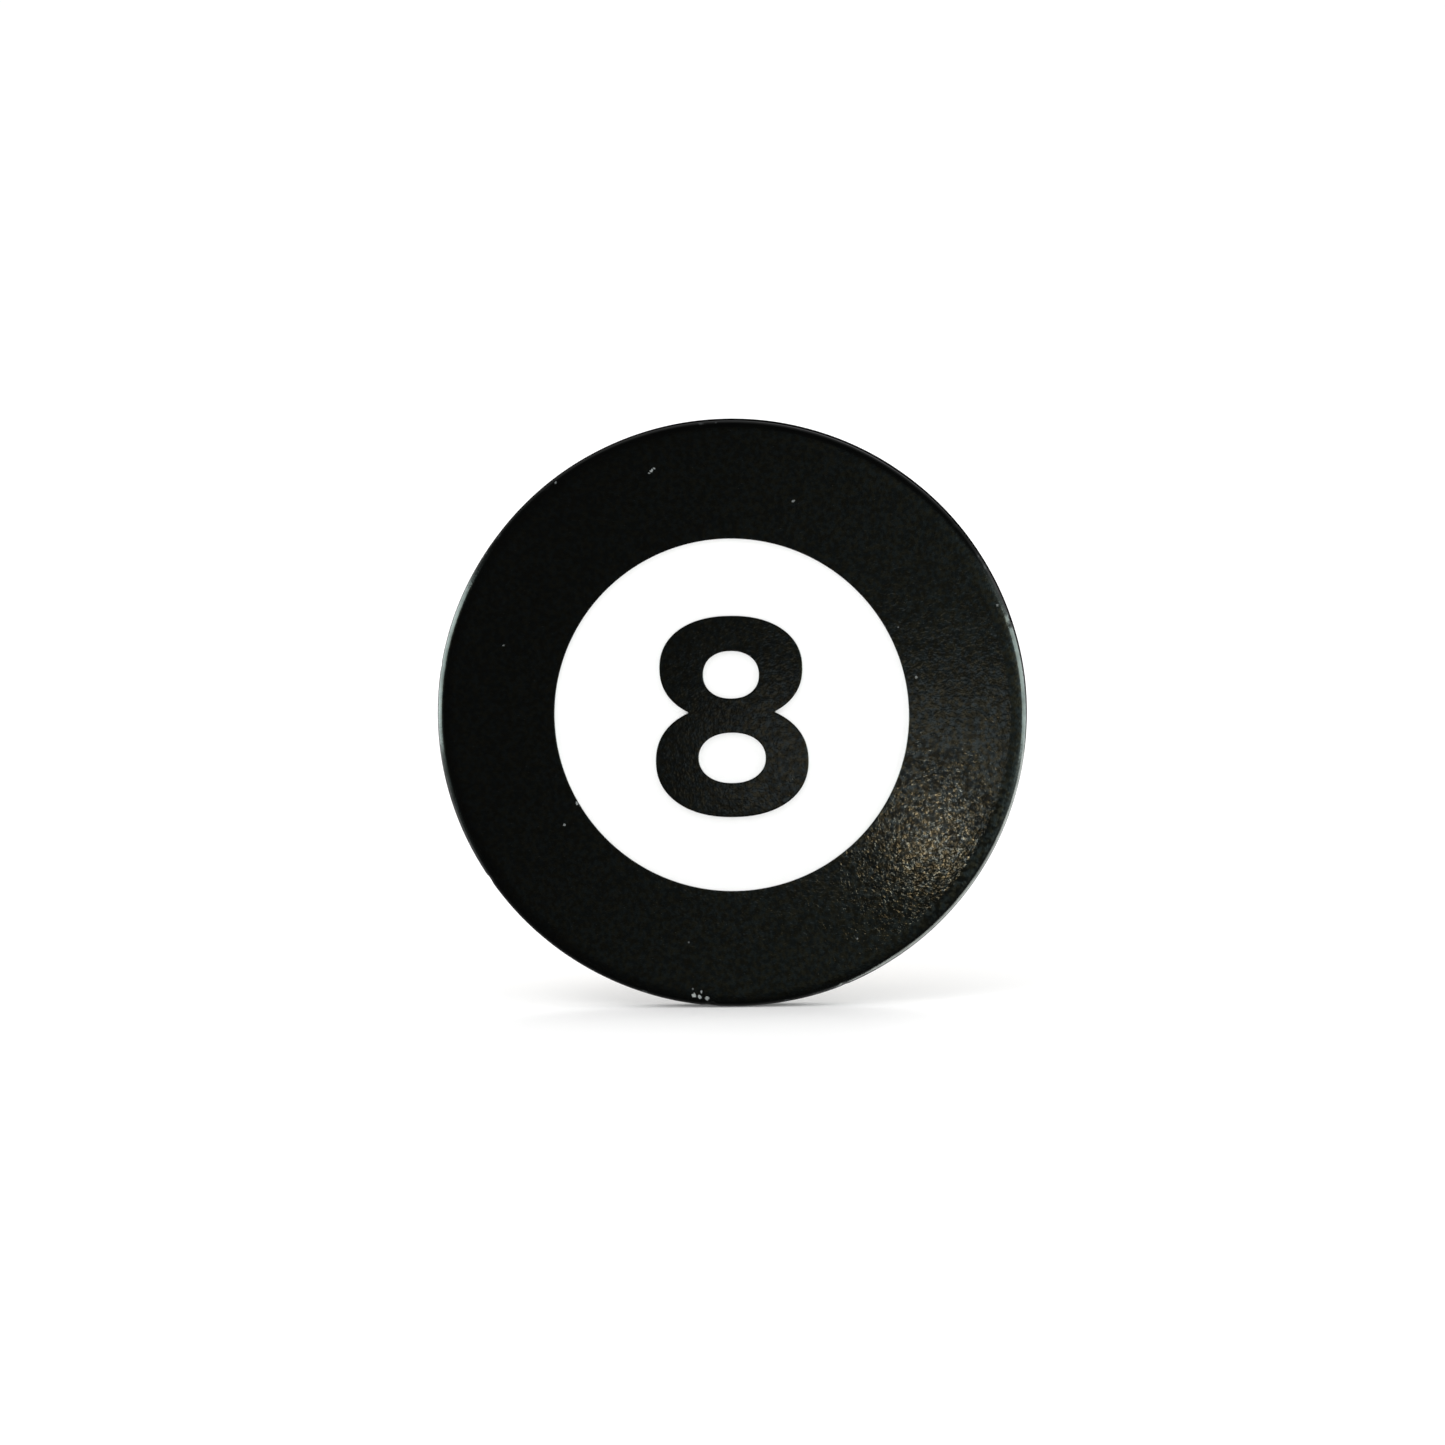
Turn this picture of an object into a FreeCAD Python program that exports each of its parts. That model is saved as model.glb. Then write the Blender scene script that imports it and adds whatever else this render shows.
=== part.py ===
import FreeCAD, Part
import math
import os

# Round lapel pin badge with a pool ball design, and its butterfly clutch.
# Frame: millimetres, +Z up, the face looks along -Y, the post points along +Y.
# Origin: centre of the badge's flat back, on the post's axis.
# Names ending in _R are radii about the post's axis, or of a round part about its own.
# Names ending in _H are heights along +Y above the clutch's cloth face.

V = FreeCAD.Vector
ORIGIN, X_AXIS, Y_AXIS, Z_AXIS = V(0, 0, 0), V(1, 0, 0), V(0, 1, 0), V(0, 0, 1)
os.makedirs("parts", exist_ok=True)

# Badge plate
BADGE_R = 12.5
BADGE_T = 1.5
FACE_R = 11.78            # the flat face ends and the rolled edge starts
EDGE_DROP = 0.10          # fall of the face across the rolled edge
EDGE_END_R = 12.30        # the roll turns into the corner
CORNER_VIA_IN = 0.081     # point on the corner arc: in from the wall,
CORNER_VIA_DROP = 0.104   # and below the end of the roll
CORNER_DEPTH = 0.34       # depth below the face where the side wall starts
BACK_ROUND = 0.15
CELL_R = 7.51             # enamel cell
CELL_DEPTH = 0.5
SEAT_R = 2.3              # seat for the post's foot
SEAT_DEPTH = 0.25
ENAMEL_T = 0.30
CUT_OVER = 1.0            # how far the cutters reach out past the face

FACE_Y = -BADGE_T
FLOOR_Y = FACE_Y + CELL_DEPTH
FILL_Y = FLOOR_Y - ENAMEL_T

# Numeral, as superellipses: centre z, half width, half height, power
BOWL_UP = (2.004, 3.030, 2.226, 2.22)
BOWL_LOW = (-1.949, 3.240, 2.399, 2.21)
EYE_UP = (1.724, 1.181, 1.011, 2.18)
EYE_LOW = (-1.820, 1.418, 1.074, 2.15)
WAIST_FILLET = 0.09

# Post, with distances along Y measured from the badge's back
POST_R = 0.55
FOOT_R = 1.8
FOOT_TOP_Y = 0.05
FOOT_CHAMFER_W, FOOT_CHAMFER_H = 0.06, 0.04
ROOT_FILLET = 0.20        # between foot and shank
GROOVE_R = 0.36
GROOVE_START, GROOVE_FLOOR_0, GROOVE_FLOOR_1, GROOVE_END = 5.60, 5.82, 6.15, 6.30
LAND_END = 6.95           # the pointed nose starts
NOSE_VIA = (0.345, 7.62)  # radius and y of a point on the nose's curve
TIP_Y = 8.2
TIP_FLAT_R = 0.03
TIP_CHAMFER = 0.05
SOLDER_RIM_Y = -0.03      # solder height at the seat's wall
SOLDER_VIA = (FOOT_R + 0.19, -0.075)

# Clutch base
CLOTH_GAP = 2.2           # space for the cloth between badge and clutch
CLUTCH_R = 5.75
SHEET = 0.30
BASE_HOLE_R = 0.80
HOLE_ROUND = 0.16
BASE_BEND = 0.45
LIP_R = 5.05
LIP_BOTTOM_H, LIP_TOP_H = 0.66, 0.97
LIP_BEND = 0.30
LIP_NOSE = 0.12           # width of the lip's rounded inner edge
LIP_CHAMFER = 0.05

# Clutch cap
FLANGE_R = 5.32           # held under the base's crimped lip
FLANGE_H = 0.33
FLANGE_BEND = 0.25
FLANGE_CHAMFER = 0.12
WALL_FOOT_R, WALL_TOP_R = 4.15, 3.85
CAP_TOP_H = 3.30
CAP_CORNER = 0.55
CAP_HOLE_R = 0.72
CAP_HOLE_CHAMFER = 0.06
WINDOW_X = 1.20           # windows for the wings start here
WINDOW_HALF = 1.95
WINDOW_BOTTOM_H = 1.25
WINDOW_LENGTH = 6.0       # runs out past the cap wall
PIVOT_X, PIVOT_H = 1.55, 2.30
EAR_T = 0.30
EAR_R = 0.50
EAR_HOLE_R = 0.22
EAR_OVERLAP = 0.1         # reach of the ears into the roof

# Wings, with half widths along Z
WING_T = 0.35
JAW_HALF_GAP = 0.05
JAW_H = 1.10
JAW_BORE_R = 0.58
JAW_BORE_LENGTH = 3.0
ARM_HALF = 1.40
NECK_HALF = 1.75
WING_HALF = 3.25
OUTLINE_BOTTOM_H = 0.6
ARM_TOP_H = 1.72
NECK_BOTTOM_H, NECK_TOP_H = 1.95, 3.30
WING_TOP_H = 6.40
OUTLINE_TOP_H = WING_TOP_H + 0.25
WING_CORNER = 1.30
STRIP_STEPS = 40          # spans used to offset the centre line
TRUNNION_R = 0.18
TRUNNION_END = 2.40
TRUNNION_SINK = 0.15      # length buried in the neck
RIB_R = 0.13
RIB_HALF = 2.05
RIB_SINK = 0.03           # depth of the rib's axis below the surface
RIB_SHARES = (0.83, 0.91)  # places along the centre line

# Wing centre line from jaw to tip: x, height
WING_CENTRE = [
    (0.70, JAW_H), (1.00, JAW_H), (1.26, JAW_H + 0.06), (1.45, JAW_H + 0.22),
    (1.54, JAW_H + 0.46), (1.55, 1.90), (PIVOT_X, PIVOT_H), (1.60, 2.70),
    (1.74, 3.12), (2.02, 3.58), (2.46, 4.08), (3.05, 4.62),
    (3.72, 5.18), (4.42, 5.76), (5.05, WING_TOP_H - 0.10),
]
# Flare from neck to finger wing: z, height
WING_FLARE = [
    (NECK_HALF, NECK_TOP_H), (1.92, 3.75), (2.45, 4.30), (3.02, 4.85),
    (WING_HALF, OUTLINE_TOP_H - WING_CORNER),
]

# Ring spring round the jaw arms
RING_MEAN_R = 2.51
RING_WIRE_R = 0.15
RING_H = 1.44
RING_GAP_DEG = 26.0

# Distance of a quarter round's middle from both sides of its corner, per unit radius
ROUND_CUT = 1 - math.sqrt(0.5)


# ---------------------------------------------------------------- helpers
def save(shape, name):
    solids = shape.Solids
    out = solids[0] if len(solids) == 1 else Part.makeCompound(solids)
    out.exportStep("parts/" + name + ".step")


def line(start, end):
    return Part.LineSegment(start, end).toShape()


def arc(start, via, end):
    return Part.Arc(start, via, end).toShape()


def spline(points, **options):
    curve = Part.BSplineCurve()
    curve.interpolate(Points=points, **options)
    return curve


def face_of(edges):
    return Part.Face(Part.Wire(Part.__sortEdges__(edges)))


def bend(x, y, before, after):
    """Lathe steps of a quarter round at corner (x, y); it starts and ends at these offsets."""
    via = (x + (before[0] + after[0]) * ROUND_CUT, y + (before[1] + after[1]) * ROUND_CUT)
    return [(x + before[0], y + before[1]), (via, (x + after[0], y + after[1]))]


def lathe(steps, base_y=0):
    """Turns a closed profile about Y. A step is a point (radius, y), or (via, end) for an arc."""
    def point(pair):
        return V(pair[0], base_y + pair[1], 0)

    edges = []
    start = point(steps[0])
    for step in steps[1:] + steps[:1]:
        if isinstance(step[0], tuple):
            via, end = point(step[0]), point(step[1])
            edges.append(arc(start, via, end))
        else:
            end = point(step)
            edges.append(line(start, end))
        start = end
    return face_of(edges).revolve(ORIGIN, Y_AXIS, 360).Solids[0]


def disc(radius, y0, y1):
    return Part.makeCylinder(radius, y1 - y0, V(0, y0, 0), Y_AXIS)


def rod(radius, x, y, z, length):
    """Cylinder along +Z from the given point."""
    return Part.makeCylinder(radius, length, V(x, y, z), Z_AXIS)


def mirrored(shape):
    return shape.mirror(ORIGIN, X_AXIS)


def superellipse_prism(spec, y0, y1, count=64):
    centre_z, half_width, half_height, power = spec

    def bulge(half, value):
        return math.copysign(half * abs(value) ** (2 / power), value)

    points = []
    for i in range(count):
        angle = 2 * math.pi * i / count
        x = bulge(half_width, math.cos(angle))
        z = centre_z + bulge(half_height, math.sin(angle))
        points.append(V(x, y0, z))
    wire = Part.Wire(spline(points, PeriodicFlag=True).toShape())
    return Part.Face(wire).extrude(V(0, y1 - y0, 0))


# ---------------------------------------------------------------- badge
def numeral(y0, y1):
    """The figure eight between two depths, without its eyes."""
    upper = superellipse_prism(BOWL_UP, y0, y1)
    lower = superellipse_prism(BOWL_LOW, y0, y1)
    body = upper.fuse(lower).removeSplitter()
    # The waist edges run straight along Y, where the two bowls meet
    waist = [e for e in body.Edges
             if e.BoundBox.XLength < 1e-3 and e.BoundBox.ZLength < 1e-3
             and abs(e.BoundBox.YLength - (y1 - y0)) < 1e-3
             and abs(e.CenterOfMass.z) < 0.6 and 1.0 < abs(e.CenterOfMass.x) < 2.4]
    assert len(waist) == 2, "expected two waist edges"
    return body.makeFillet(WAIST_FILLET, waist)


def badge_plate():
    roll_end_y = FACE_Y + EDGE_DROP
    roll_via = ((FACE_R + EDGE_END_R) / 2, FACE_Y + EDGE_DROP * 0.30)
    corner_via = (BADGE_R - CORNER_VIA_IN, roll_end_y + CORNER_VIA_DROP)
    blank = lathe([
        (0, FACE_Y),
        (FACE_R, FACE_Y),
        (roll_via, (EDGE_END_R, roll_end_y)),
        (corner_via, (BADGE_R, FACE_Y + CORNER_DEPTH)),
        *bend(BADGE_R, 0, (0, -BACK_ROUND), (-BACK_ROUND, 0)),
        (SEAT_R, 0),
        (SEAT_R, -SEAT_DEPTH),
        (0, -SEAT_DEPTH),
    ])
    cut_y = FACE_Y - CUT_OVER
    # The numeral is left standing in the cell
    plate = blank.cut(disc(CELL_R, cut_y, FLOOR_Y).cut(numeral(cut_y, FLOOR_Y)))
    for eye in (EYE_UP, EYE_LOW):
        plate = plate.cut(superellipse_prism(eye, cut_y, FLOOR_Y))
    return plate


def enamel_field():
    margin = 0.5
    return disc(CELL_R, FILL_Y, FLOOR_Y).cut(numeral(FILL_Y - margin, FLOOR_Y + margin))


def pin_post():
    return lathe([
        (0, -SEAT_DEPTH),
        (FOOT_R, -SEAT_DEPTH),
        (FOOT_R, FOOT_TOP_Y - FOOT_CHAMFER_H),
        (FOOT_R - FOOT_CHAMFER_W, FOOT_TOP_Y),
        *bend(POST_R, FOOT_TOP_Y, (ROOT_FILLET, 0), (0, ROOT_FILLET)),
        (POST_R, GROOVE_START),
        (GROOVE_R, GROOVE_FLOOR_0),
        (GROOVE_R, GROOVE_FLOOR_1),
        (POST_R, GROOVE_END),
        (POST_R, LAND_END),
        (NOSE_VIA, (TIP_FLAT_R + TIP_CHAMFER, TIP_Y - TIP_CHAMFER)),
        (TIP_FLAT_R, TIP_Y),
        (0, TIP_Y),
    ])


def post_solder():
    """Ring of solder between the post's foot and the seat's wall."""
    return lathe([
        (FOOT_R, -SEAT_DEPTH),
        (SEAT_R, -SEAT_DEPTH),
        (SEAT_R, SOLDER_RIM_Y),
        (SOLDER_VIA, (FOOT_R, 0)),
    ])


# ---------------------------------------------------------------- clutch
def clutch_base():
    inner_r = CLUTCH_R - SHEET
    inner_bend = BASE_BEND - SHEET
    nose_r = LIP_R + LIP_NOSE
    return lathe([
        (BASE_HOLE_R, SHEET),
        *bend(BASE_HOLE_R, 0, (0, HOLE_ROUND), (HOLE_ROUND, 0)),
        *bend(CLUTCH_R, 0, (-BASE_BEND, 0), (0, BASE_BEND)),
        *bend(CLUTCH_R, LIP_TOP_H, (0, -LIP_BEND), (-LIP_BEND, 0)),
        (nose_r, LIP_TOP_H),
        ((LIP_R, (LIP_BOTTOM_H + LIP_TOP_H) / 2), (nose_r, LIP_BOTTOM_H)),
        (inner_r - LIP_CHAMFER, LIP_BOTTOM_H),
        (inner_r, LIP_BOTTOM_H - LIP_CHAMFER),
        *bend(inner_r, SHEET, (0, inner_bend), (-inner_bend, 0)),
    ], CLOTH_GAP)


def ear(z):
    """Right-hand pivot ear, hanging from the roof; z is its lower side."""
    pivot_y = CLOTH_GAP + PIVOT_H
    height = CAP_TOP_H - SHEET + EAR_OVERLAP - PIVOT_H
    body = Part.makeBox(2 * EAR_R, height, EAR_T, V(PIVOT_X - EAR_R, pivot_y, z))
    body = body.fuse(rod(EAR_R, PIVOT_X, pivot_y, z, EAR_T))
    return body.cut(rod(EAR_HOLE_R, PIVOT_X, pivot_y, z - 1, EAR_T + 2))


def clutch_cap():
    flange_top = FLANGE_H + SHEET
    roof_under = CAP_TOP_H - SHEET
    wall_foot_in = WALL_FOOT_R - SHEET
    inner_corner = CAP_CORNER - SHEET
    cap = lathe([
        (FLANGE_R, FLANGE_H),
        (FLANGE_R, flange_top),
        *bend(WALL_FOOT_R, flange_top, (FLANGE_BEND, 0), (0, FLANGE_BEND)),
        *bend(WALL_TOP_R, CAP_TOP_H, (0, -CAP_CORNER), (-CAP_CORNER, 0)),
        (CAP_HOLE_R + CAP_HOLE_CHAMFER, CAP_TOP_H),
        (CAP_HOLE_R, CAP_TOP_H - CAP_HOLE_CHAMFER),
        (CAP_HOLE_R, roof_under),
        *bend(WALL_TOP_R - SHEET, roof_under, (-inner_corner, 0), (0, -inner_corner)),
        (wall_foot_in, FLANGE_H + FLANGE_CHAMFER),
        (wall_foot_in + FLANGE_CHAMFER, FLANGE_H),
    ], CLOTH_GAP)
    # Each window opens both the wall and the roof
    window = Part.makeBox(WINDOW_LENGTH, CAP_TOP_H, 2 * WINDOW_HALF,
                          V(WINDOW_X, CLOTH_GAP + WINDOW_BOTTOM_H, -WINDOW_HALF))
    cap = cap.cut(window).cut(mirrored(window))
    for z in (WINDOW_HALF, -WINDOW_HALF - EAR_T):
        cap = cap.fuse(ear(z)).fuse(mirrored(ear(z)))
    return cap.removeSplitter()


def wing_outline():
    """Wing seen along X: narrow jaw arm, neck inside the window, then the finger wing."""
    def point(z, height):
        return V(0, CLOTH_GAP + height, z)

    lower = [point(ARM_HALF, OUTLINE_BOTTOM_H), point(ARM_HALF, ARM_TOP_H),
             point(NECK_HALF, NECK_BOTTOM_H), point(NECK_HALF, NECK_TOP_H)]
    edges = [line(start, end) for start, end in zip(lower, lower[1:])]
    flare = [point(z, height) for z, height in WING_FLARE]
    edges.append(spline(flare, InitialTangent=Y_AXIS, FinalTangent=Y_AXIS).toShape())
    corner_cut = WING_CORNER * ROUND_CUT
    top_half = WING_HALF - WING_CORNER
    edges.append(arc(flare[-1], point(WING_HALF - corner_cut, OUTLINE_TOP_H - corner_cut),
                     point(top_half, OUTLINE_TOP_H)))
    edges += [e.mirror(ORIGIN, Z_AXIS) for e in edges]
    edges.append(line(point(top_half, OUTLINE_TOP_H), point(-top_half, OUTLINE_TOP_H)))
    edges.append(line(lower[0], point(-ARM_HALF, OUTLINE_BOTTOM_H)))
    return face_of(edges)


def right_wing():
    """Jaw plate, arm, neck and finger wing in one bent strip, on the +X side."""
    centre = spline([V(x, CLOTH_GAP + height, 0) for x, height in WING_CENTRE])
    first, last = centre.FirstParameter, centre.LastParameter

    def beside(share, offset):
        """Point off the centre line; a positive offset is to the left going jaw to tip."""
        place = first + (last - first) * share
        direction = centre.tangent(place)[0]
        return centre.value(place) + V(-direction.y, direction.x, 0) * offset

    shares = [i / STRIP_STEPS for i in range(STRIP_STEPS + 1)]
    left = [beside(share, WING_T / 2) for share in shares]
    right = [beside(share, -WING_T / 2) for share in shares]
    tip = centre.value(last) + centre.tangent(last)[0] * (WING_T / 2)
    jaw_y = CLOTH_GAP + JAW_H
    jaw_top = V(JAW_HALF_GAP, jaw_y + WING_T / 2, 0)
    jaw_bottom = V(JAW_HALF_GAP, jaw_y - WING_T / 2, 0)
    strip = face_of([
        spline(left).toShape(),
        spline(right).toShape(),
        arc(left[-1], tip, right[-1]),
        line(left[0], jaw_top),
        line(jaw_top, jaw_bottom),
        line(jaw_bottom, right[0]),
    ]).extrude(V(0, 0, 8))
    strip.translate(V(0, 0, -4))

    # The side outline trims the strip to its width
    trim = wing_outline().extrude(V(8, 0, 0))
    trim.translate(V(-0.5, 0, 0))
    wing = strip.common(trim)
    wing = wing.cut(disc(JAW_BORE_R, CLOTH_GAP, CLOTH_GAP + JAW_BORE_LENGTH))

    trunnion_start = NECK_HALF - TRUNNION_SINK
    for z in (trunnion_start, -TRUNNION_END):
        wing = wing.fuse(rod(TRUNNION_R, PIVOT_X, CLOTH_GAP + PIVOT_H, z,
                             TRUNNION_END - trunnion_start))

    # Two round-ended ribs across the outer side of the finger wing
    for share in RIB_SHARES:
        axis = beside(share, RIB_SINK - WING_T / 2)
        rib = rod(RIB_R, axis.x, axis.y, -RIB_HALF, 2 * RIB_HALF)
        for z in (-RIB_HALF, RIB_HALF):
            rib = rib.fuse(Part.makeSphere(RIB_R, V(axis.x, axis.y, z)))
        wing = wing.fuse(rib)
    return wing.removeSplitter()


def ring_spring():
    """Wire ring round the jaw arms, with round ends and its gap at the top (+Z)."""
    y = CLOTH_GAP + RING_H
    section = Part.Circle(V(RING_MEAN_R, y, 0), Z_AXIS, RING_WIRE_R).toShape()
    ring = Part.Face(Part.Wire(section)).revolve(ORIGIN, Y_AXIS, 360 - RING_GAP_DEG)
    ring.rotate(ORIGIN, Y_AXIS, -90 + RING_GAP_DEG / 2)
    for side in (1, -1):
        angle = side * math.radians(RING_GAP_DEG / 2)
        end = V(RING_MEAN_R * math.sin(angle), y, RING_MEAN_R * math.cos(angle))
        ring = ring.fuse(Part.makeSphere(RING_WIRE_R, end))
    return ring.removeSplitter()


# ---------------------------------------------------------------- pieces
save(badge_plate(), "badge_plate")
save(enamel_field(), "white_enamel_field")
save(superellipse_prism(EYE_UP, FILL_Y, FLOOR_Y), "white_enamel_upper_eye")
save(superellipse_prism(EYE_LOW, FILL_Y, FLOOR_Y), "white_enamel_lower_eye")
save(pin_post(), "pin_post")
save(post_solder(), "post_solder")
save(clutch_base(), "clutch_base")
save(clutch_cap(), "clutch_cap")
wing = right_wing()
save(wing, "clutch_wing_right")
save(mirrored(wing), "clutch_wing_left")
save(ring_spring(), "jaw_ring_spring")
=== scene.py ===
"""Round lapel pin badge with a pool ball face and a butterfly clutch: looks and studio.

Lengths are written in millimetres and turned into metres when an object is made.
+Z up, the face looks along -Y, the post points along +Y, origin at the centre of the flat back.
"""

import math
from collections import namedtuple

import bmesh
import bpy
import numpy as np
from mathutils import Matrix, Vector, geometry, noise


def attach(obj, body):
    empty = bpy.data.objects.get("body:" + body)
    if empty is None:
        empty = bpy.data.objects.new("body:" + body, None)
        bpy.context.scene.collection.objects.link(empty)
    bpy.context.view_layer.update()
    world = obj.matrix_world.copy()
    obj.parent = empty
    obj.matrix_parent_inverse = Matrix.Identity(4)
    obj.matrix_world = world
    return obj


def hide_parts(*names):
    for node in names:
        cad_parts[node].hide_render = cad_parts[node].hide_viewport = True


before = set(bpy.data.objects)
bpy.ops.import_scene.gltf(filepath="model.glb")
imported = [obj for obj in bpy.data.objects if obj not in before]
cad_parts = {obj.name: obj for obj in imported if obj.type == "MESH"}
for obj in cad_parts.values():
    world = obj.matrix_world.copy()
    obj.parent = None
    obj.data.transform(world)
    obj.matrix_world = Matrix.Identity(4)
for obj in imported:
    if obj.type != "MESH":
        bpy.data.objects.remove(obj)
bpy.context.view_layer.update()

TAU = 2 * math.pi
MM = 0.001  # one millimetre in metres

# ------------------------------------------------------------------ sizes, as in the CAD model
# Badge plate
BADGE_R = 12.5
BADGE_T = 1.5
FACE_R = 11.78  # where the flat face ends
EDGE_R_MID = 12.30  # where the shallow roll turns into the corner
EDGE_DROP = 0.10  # depth of the shallow roll
CORNER_DEPTH = 0.34
BACK_ROUND = 0.15
CELL_R = 7.51  # the round sunk cell in the face
CELL_DEPTH = 0.5
SEAT_R = 2.3  # the sunk seat of the post in the back
SEAT_DEPTH = 0.25
ENAMEL_T = 0.30
EDGE = 0.045  # rounding at the top of the cell walls
EDGE_LAND = 0.035  # narrow flat strip beside that rounding

FACE_Y = -BADGE_T
FLOOR_Y = FACE_Y + CELL_DEPTH
FILL_Y = FLOOR_Y - ENAMEL_T

# Numeral: two superellipses for its body and two for its eyes, all centred on x = 0
Oval = namedtuple("Oval", "centre_z half_width half_height power")
BOWL_UP = Oval(2.004, 3.030, 2.226, 2.22)
BOWL_LOW = Oval(-1.949, 3.240, 2.399, 2.21)
EYE_UP = Oval(1.724, 1.181, 1.011, 2.18)
EYE_LOW = Oval(-1.820, 1.418, 1.074, 2.15)

# Post
POST_R = 0.55
POST_FOOT_R = 1.8
POST_FOOT_TOP = 0.05
POST_ROOT = 0.20  # fillet between foot and shaft
POST_TIP = 8.2
GROOVE_R = 0.36
LAND_END = 6.95  # where the shaft starts to taper

# Clutch; its heights are measured from its cloth face, which stands at y = GAP
GAP = 2.2
CLUTCH_R = 5.75
SHEET = 0.30
LIP_R = 5.05
LIP_H0 = 0.66
LIP_H1 = 0.97
BASE_HOLE_R = 0.80
CAP_FLANGE_R = 5.32
CAP_FLANGE_H = 0.33
CAP_R0 = 4.15  # cap wall at the flange
CAP_R1 = 3.85  # cap wall at the top
CAP_TOP = 3.30
CAP_CORNER = 0.55
CAP_HOLE_R = 0.72
WINDOW_X0 = 1.20
WINDOW_HALF = 1.95
WINDOW_H0 = 1.25
EAR_T = 0.30
EAR_R = 0.50
EAR_HOLE_R = 0.22
PIVOT_X = 1.55
PIVOT_H = 2.30
TRUNNION_R = 0.18
TRUNNION_END = 2.40
WING_T = 0.35
JAW_GAP = 0.05
JAW_H = 1.10
JAW_BORE_R = 0.58
ARM_HALF = 1.40
NECK_HALF = 1.75
WING_HALF = 3.25
WING_TOP = 6.40
WING_CORNER = 1.30
RING_R = 2.51
RING_WIRE = 0.15  # radius of the spring's wire
RING_H = 1.44
RING_GAP = 26.0  # degrees


# ------------------------------------------------------------------ curves and noise
def arc_through(start, middle, end, steps):
    """steps + 1 points on the circle through three points of a profile."""
    (ax, ay), (bx, by), (cx, cy) = start, middle, end
    area2 = 2 * (ax * (by - cy) + bx * (cy - ay) + cx * (ay - by))
    a_sq = ax**2 + ay**2
    b_sq = bx**2 + by**2
    c_sq = cx**2 + cy**2
    centre_x = (a_sq * (by - cy) + b_sq * (cy - ay) + c_sq * (ay - by)) / area2
    centre_y = (a_sq * (cx - bx) + b_sq * (ax - cx) + c_sq * (bx - ax)) / area2
    radius = math.hypot(ax - centre_x, ay - centre_y)
    first, mid, last = (
        math.atan2(y - centre_y, x - centre_x) for x, y in (start, middle, end)
    )
    sweep = (last - first) % TAU
    if (mid - first) % TAU > sweep:
        sweep -= TAU
    angles = [first + sweep * i / steps for i in range(steps + 1)]
    return [(centre_x + radius * math.cos(a), centre_y + radius * math.sin(a)) for a in angles]


def arc_about(centre, radius, from_deg, to_deg, steps):
    """steps + 1 points of an arc given by its centre, radius and two angles in degrees."""
    angles = [math.radians(from_deg + (to_deg - from_deg) * i / steps) for i in range(steps + 1)]
    return [(centre[0] + radius * math.cos(a), centre[1] + radius * math.sin(a)) for a in angles]


def wobble(x, y, z, scale, seed):
    point = (x * scale + seed, y * scale - seed * 0.7, z * scale + seed * 1.3)
    return noise.noise(Vector(point))


def smooth(t):
    t = min(1.0, max(0.0, t))
    return t * t * (3 - 2 * t)


# ------------------------------------------------------------------ mesh tools
class Build:
    """Collects vertices and faces in millimetres."""

    def __init__(self):
        self.verts = []
        self.faces = []

    def ring(self, points):
        start = len(self.verts)
        self.verts.extend([tuple(map(float, p)) for p in points])
        return list(range(start, len(self.verts)))

    def point(self, position):
        return self.ring([position])[0]

    def loft(self, first, second, closed=True):
        count = len(first)
        for i in range(count if closed else count - 1):
            j = (i + 1) % count
            self.faces.append((first[i], first[j], second[j], second[i]))

    def loft_all(self, rings, closed=True):
        for first, second in zip(rings, rings[1:]):
            self.loft(first, second, closed)

    def fan(self, ring, centre):
        for i, vert in enumerate(ring):
            self.faces.append((vert, ring[(i + 1) % len(ring)], centre))

    def lathe(self, profile, count, closed_profile=False, tune=None):
        """Turns (radius, y) points about the Y axis. A radius of 0 becomes one point.

        tune(index, radius, y, angle) may return a changed radius and y for a vertex.
        """
        rings = []
        for index, (radius, y) in enumerate(profile):
            if radius < 1e-6:
                rings.append(self.point((0, y, 0)))
                continue
            points = []
            for i in range(count):
                angle = TAU * i / count
                out, along = tune(index, radius, y, angle) if tune else (radius, y)
                points.append((out * math.sin(angle), along, out * math.cos(angle)))
            rings.append(self.ring(points))
        pairs = list(zip(rings, rings[1:]))
        if closed_profile:
            pairs.append((rings[-1], rings[0]))
        for first, second in pairs:
            if isinstance(first, int):
                self.fan(second, first)
            elif isinstance(second, int):
                self.fan(first, second)
            else:
                self.loft(first, second)
        return rings

    def join(self, other):
        base = len(self.verts)
        self.verts.extend(other.verts)
        self.faces.extend(tuple(i + base for i in face) for face in other.faces)

    def mirrored_x(self):
        out = Build()
        out.verts = [(-x, y, z) for x, y, z in self.verts]
        out.faces = [tuple(reversed(face)) for face in self.faces]
        return out


def mesh_from(name, build, weld):
    """A mesh in millimetres, welded at the given distance (0 for none), normals outwards."""
    mesh = bpy.data.meshes.new(name)
    mesh.from_pydata(build.verts, [], build.faces)
    mesh.validate()
    bm = bmesh.new()
    bm.from_mesh(mesh)
    if weld:
        bmesh.ops.remove_doubles(bm, verts=bm.verts, dist=weld)
    bmesh.ops.recalc_face_normals(bm, faces=bm.faces)
    bm.to_mesh(mesh)
    bm.free()
    return mesh


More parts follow.
